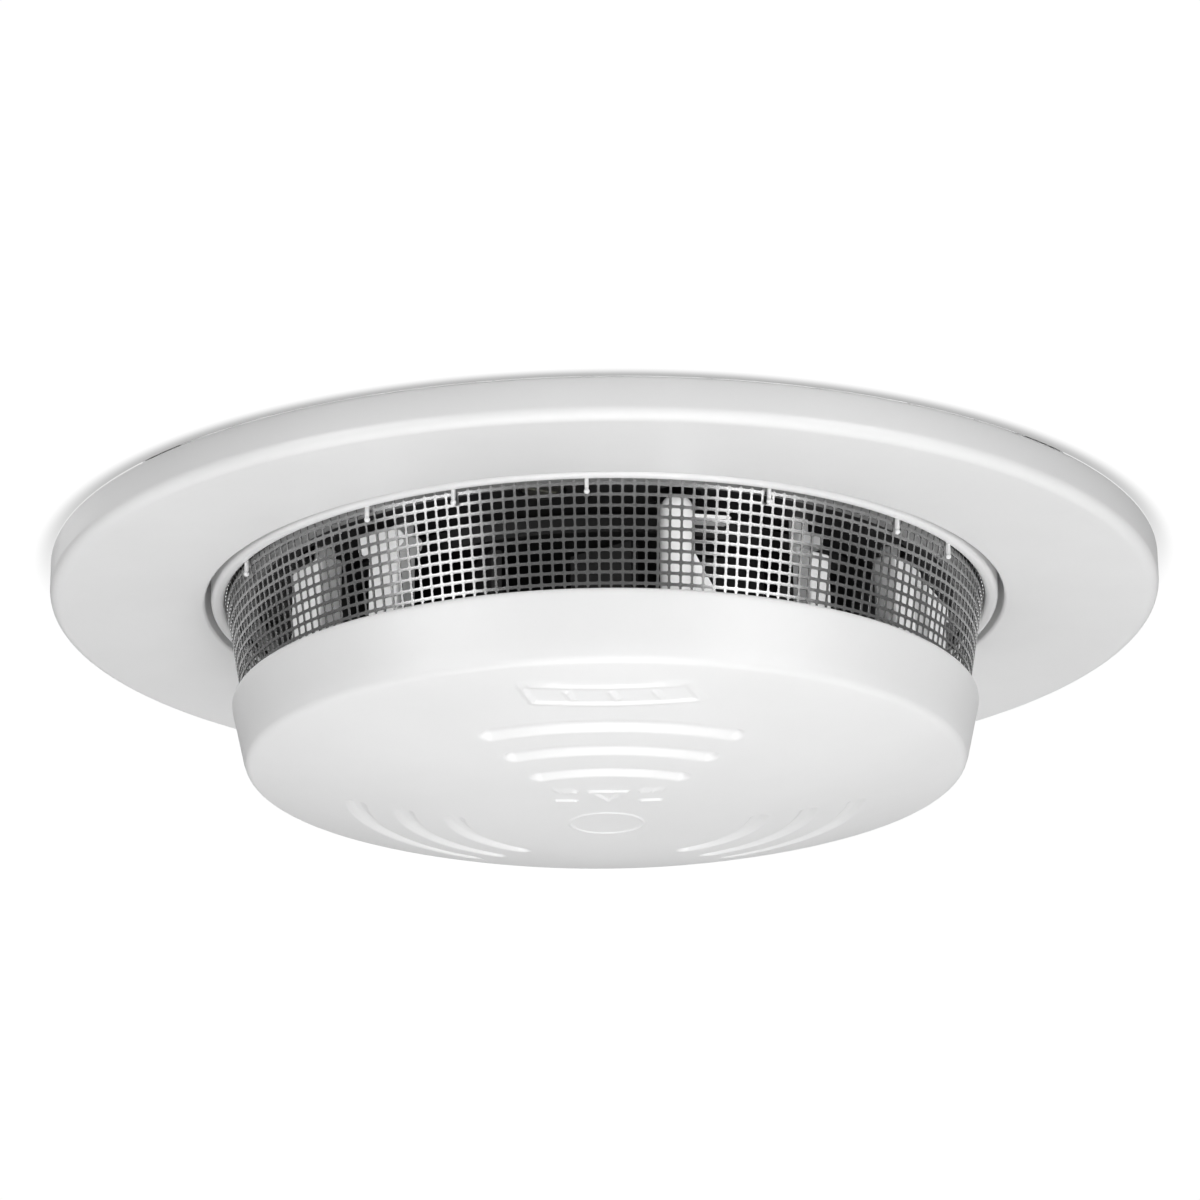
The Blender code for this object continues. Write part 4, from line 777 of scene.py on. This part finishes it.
def stage_plane(name, inner, outer, z, material, segments=128, up=True):
    """A flat ring of the set, in metres, that faces up or down."""
    mesh = bpy.data.meshes.new(name)
    verts, faces = [], []
    for radius in (inner, outer):
        for k in range(segments):
            a = 2 * pi * k / segments
            verts.append((radius * cos(a), radius * sin(a), z))
    for k in range(segments):
        n = (k + 1) % segments
        face = (k, segments + k, segments + n, n)
        faces.append(face if up else tuple(reversed(face)))
    mesh.from_pydata(verts, [], faces)
    mesh.materials.append(material)
    obj = add_object(name, mesh)
    return obj


def math_node(tree, operation, *values):
    node = tree.nodes.new("ShaderNodeMath")
    node.operation = operation
    for socket, value in zip(node.inputs, values):
        if isinstance(value, (int, float)):
            socket.default_value = value
        else:
            tree.links.new(value, socket)
    return node.outputs[0]


def ceiling_material(name, brightness):
    """White from below, clear from above, with a soft contact shadow round the front of the flange."""
    material = bpy.data.materials.new(name)
    material.use_nodes = True
    tree = material.node_tree
    tree.nodes.remove(tree.nodes["Principled BSDF"])
    coords = tree.nodes.new("ShaderNodeTexCoord")
    split = tree.nodes.new("ShaderNodeSeparateXYZ")
    tree.links.new(coords.outputs["Object"], split.inputs[0])
    x, y = split.outputs[0], split.outputs[1]
    radius = math_node(tree, "SQRT", math_node(tree, "ADD", math_node(tree, "MULTIPLY", x, x),
                                               math_node(tree, "MULTIPLY", y, y)))
    away = math_node(tree, "DIVIDE", math_node(tree, "SUBTRACT", radius, FLANGE_R * MM), SHADOW_REACH)
    near = math_node(tree, "DIVIDE", math_node(tree, "SUBTRACT", 0.012, y), 0.05)
    ramp = tree.nodes.new("ShaderNodeMapRange")
    ramp.interpolation_type = "SMOOTHSTEP"
    ramp.inputs["To Min"].default_value = 1.0
    ramp.inputs["To Max"].default_value = 0.0
    tree.links.new(away, ramp.inputs["Value"])
    front = tree.nodes.new("ShaderNodeMapRange")
    front.interpolation_type = "SMOOTHSTEP"
    tree.links.new(near, front.inputs["Value"])
    shadow = math_node(tree, "MULTIPLY", ramp.outputs["Result"], front.outputs["Result"])
    darker = math_node(tree, "MULTIPLY", shadow, SHADOW_LEVEL * brightness)
    level = math_node(tree, "SUBTRACT", brightness, darker)
    glow = tree.nodes.new("ShaderNodeEmission")
    tree.links.new(level, glow.inputs["Strength"])
    clear = tree.nodes.new("ShaderNodeBsdfTransparent")
    side = tree.nodes.new("ShaderNodeNewGeometry")
    mix = tree.nodes.new("ShaderNodeMixShader")
    tree.links.new(side.outputs["Backfacing"], mix.inputs["Fac"])
    tree.links.new(glow.outputs[0], mix.inputs[1])
    tree.links.new(clear.outputs[0], mix.inputs[2])
    tree.links.new(mix.outputs[0], tree.nodes["Material Output"].inputs["Surface"])
    return material


def pale_material():
    """The floor and the far wall: an even pale surface with a very faint mottle."""
    material = bpy.data.materials.new("pale_floor")
    material.use_nodes = True
    tree = material.node_tree
    tree.nodes.remove(tree.nodes["Principled BSDF"])
    coords = tree.nodes.new("ShaderNodeTexCoord")
    noise = tree.nodes.new("ShaderNodeTexNoise")
    noise.inputs["Scale"].default_value = 1.5
    tree.links.new(coords.outputs["Object"], noise.inputs["Vector"])
    ramp = tree.nodes.new("ShaderNodeValToRGB")
    ramp.color_ramp.elements[0].color = (0.8, 0.8, 0.8, 1)
    ramp.color_ramp.elements[1].color = (0.86, 0.86, 0.86, 1)
    tree.links.new(noise.outputs["Fac"], ramp.inputs["Fac"])
    glow = tree.nodes.new("ShaderNodeEmission")
    tree.links.new(ramp.outputs["Color"], glow.inputs["Color"])
    tree.links.new(glow.outputs[0], tree.nodes["Material Output"].inputs["Surface"])
    return material


def make_stage():
    """The ceiling, the faint bounce that it gives, the floor and the far wall."""
    ceiling = stage_plane("ceiling", STAGE_HOLE_R, CEILING_R, 0.00002,
                          ceiling_material("ceiling", CEILING_LEVEL), 256, up=False)
    ceiling.visible_glossy = False
    ceiling.visible_diffuse = False
    bounce = stage_plane("ceiling_bounce", STAGE_HOLE_R, CEILING_R, 0.00004,
                         ceiling_material("ceiling_bounce", BOUNCE_LEVEL), 64, up=False)
    bounce.visible_glossy = False
    bounce.visible_camera = False
    pale = pale_material()
    floor = stage_plane("floor", 0.001, FLOOR_R, FLOOR_Z, pale)
    wall_shape = Shape()
    wall_shape.lathe([(5900, -460), (5900, 6000), (0, 6000)], 96, False)
    wall = add_object("backdrop", wall_shape.mesh("backdrop", outward=False))
    wall.data.materials.append(pale)
    for obj in (floor, wall):
        obj.visible_glossy = False
        obj.visible_diffuse = False
        obj.visible_shadow = False


LIGHT_DISTANCE = 0.9
PANEL_DISTANCE, PANEL_Z, PANEL_TALL = 0.8, -0.14, 0.26
WORLD_LEVEL = 0.25


def area_light(name, at, size, watts, target=(0, 0, 0), glossy=True):
    data = bpy.data.lights.new(name, "AREA")
    data.shape = "RECTANGLE"
    data.size, data.size_y = size
    data.energy = watts
    light = add_object(name, data)
    light.location = at
    light.rotation_euler = (Vector(target) - Vector(at)).to_track_quat("-Z", "Y").to_euler()
    light.visible_camera = False
    light.visible_glossy = glossy
    return light


def from_below(angle, dip):
    """A light's place below the ceiling, from its angle and how far it lies under the horizon."""
    return polar(LIGHT_DISTANCE * cos(radians(dip)), angle, -LIGHT_DISTANCE * sin(radians(dip)))


def make_lights():
    """Soft lights from below, panels for the steel to mirror, and lights for the pieces behind the mesh."""
    world = bpy.data.worlds.new("studio")
    bpy.context.scene.world = world
    world.use_nodes = True
    background = world.node_tree.nodes["Background"]
    background.inputs["Color"].default_value = (1, 1, 1, 1)
    background.inputs["Strength"].default_value = WORLD_LEVEL
    area_light("front", from_below(-75.0, 42.0), (0.5, 0.5), 1.95)
    area_light("under", from_below(-80.0, 80.0), (0.6, 0.6), 4.05)
    area_light("fill_left", from_below(-124.0, 8.0), (0.3, 0.5), 2.3, glossy=False)
    area_light("fill_right", from_below(-34.0, 8.0), (0.3, 0.5), 2.1, glossy=False)
    for name, angle, width in (("panel_left", -140.6, 0.38), ("panel_right", -45.0, 0.37)):
        at = polar(PANEL_DISTANCE, angle)
        panel = area_light(name, (at.x, at.y, PANEL_Z), (width, PANEL_TALL), 1.7, (0, 0, PANEL_Z))
        panel.visible_diffuse = False
    for name, angle, watts, lit in (
        ("inner_left", -160.0, 3.7, ("cap_leg_left", "sounder_post_left")),
        ("inner_right", -20.0, 3.6, ("cap_leg_right", "sounder_post_right")),
        ("inner_front", -70.0, 4.2, ("light_pipe_rod",)),
    ):
        light = area_light(name, from_below(angle, 12.0), (0.3, 0.3), watts, glossy=False)
        light.light_linking.receiver_collection = bpy.data.collections.new(name)
        for piece in lit:
            light.light_linking.receiver_collection.objects.link(bpy.data.objects[piece])
    area_light("top", (0.3, -0.5, 0.8), (0.9, 0.9), 4.5)
    area_light("top_back", (-0.6, 0.5, 0.5), (0.6, 0.6), 2.2)


CAMERA_TILT, CAMERA_ROLL, CAMERA_DISTANCE = radians(19.103), radians(-0.582), 0.38923
CAMERA_TARGET, CAMERA_LENS = Vector((-0.000396, 0, -0.001879)), 132.56


def make_camera():
    """The camera below and in front of the detector, as far under the ceiling's plane as its tilt."""
    eye = Vector((0, -CAMERA_DISTANCE * cos(CAMERA_TILT), -CAMERA_DISTANCE * sin(CAMERA_TILT)))
    ahead = (CAMERA_TARGET - eye).normalized()
    roll = CAMERA_ROLL
    right = ahead.cross(Vector((0, 0, 1))).normalized()
    up = right.cross(ahead)
    right, up = right * cos(roll) + up * sin(roll), up * cos(roll) - right * sin(roll)
    data = bpy.data.cameras.new("camera")
    data.sensor_width = 36.0
    data.lens = CAMERA_LENS
    data.clip_start, data.clip_end = 0.01, 30.0
    camera = add_object("camera", data)
    turn = Matrix((right, up, -ahead)).transposed().to_4x4()
    turn.translation = eye
    camera.matrix_world = turn
    bpy.context.scene.camera = camera


bpy.context.scene.view_settings.view_transform = "Standard"
make_cap()
make_cap_legs()
make_light_pipe()
make_sounder()
make_screen()
make_base()
make_housing()
dress_cad_nodes()
make_stage()
make_lights()
make_camera()
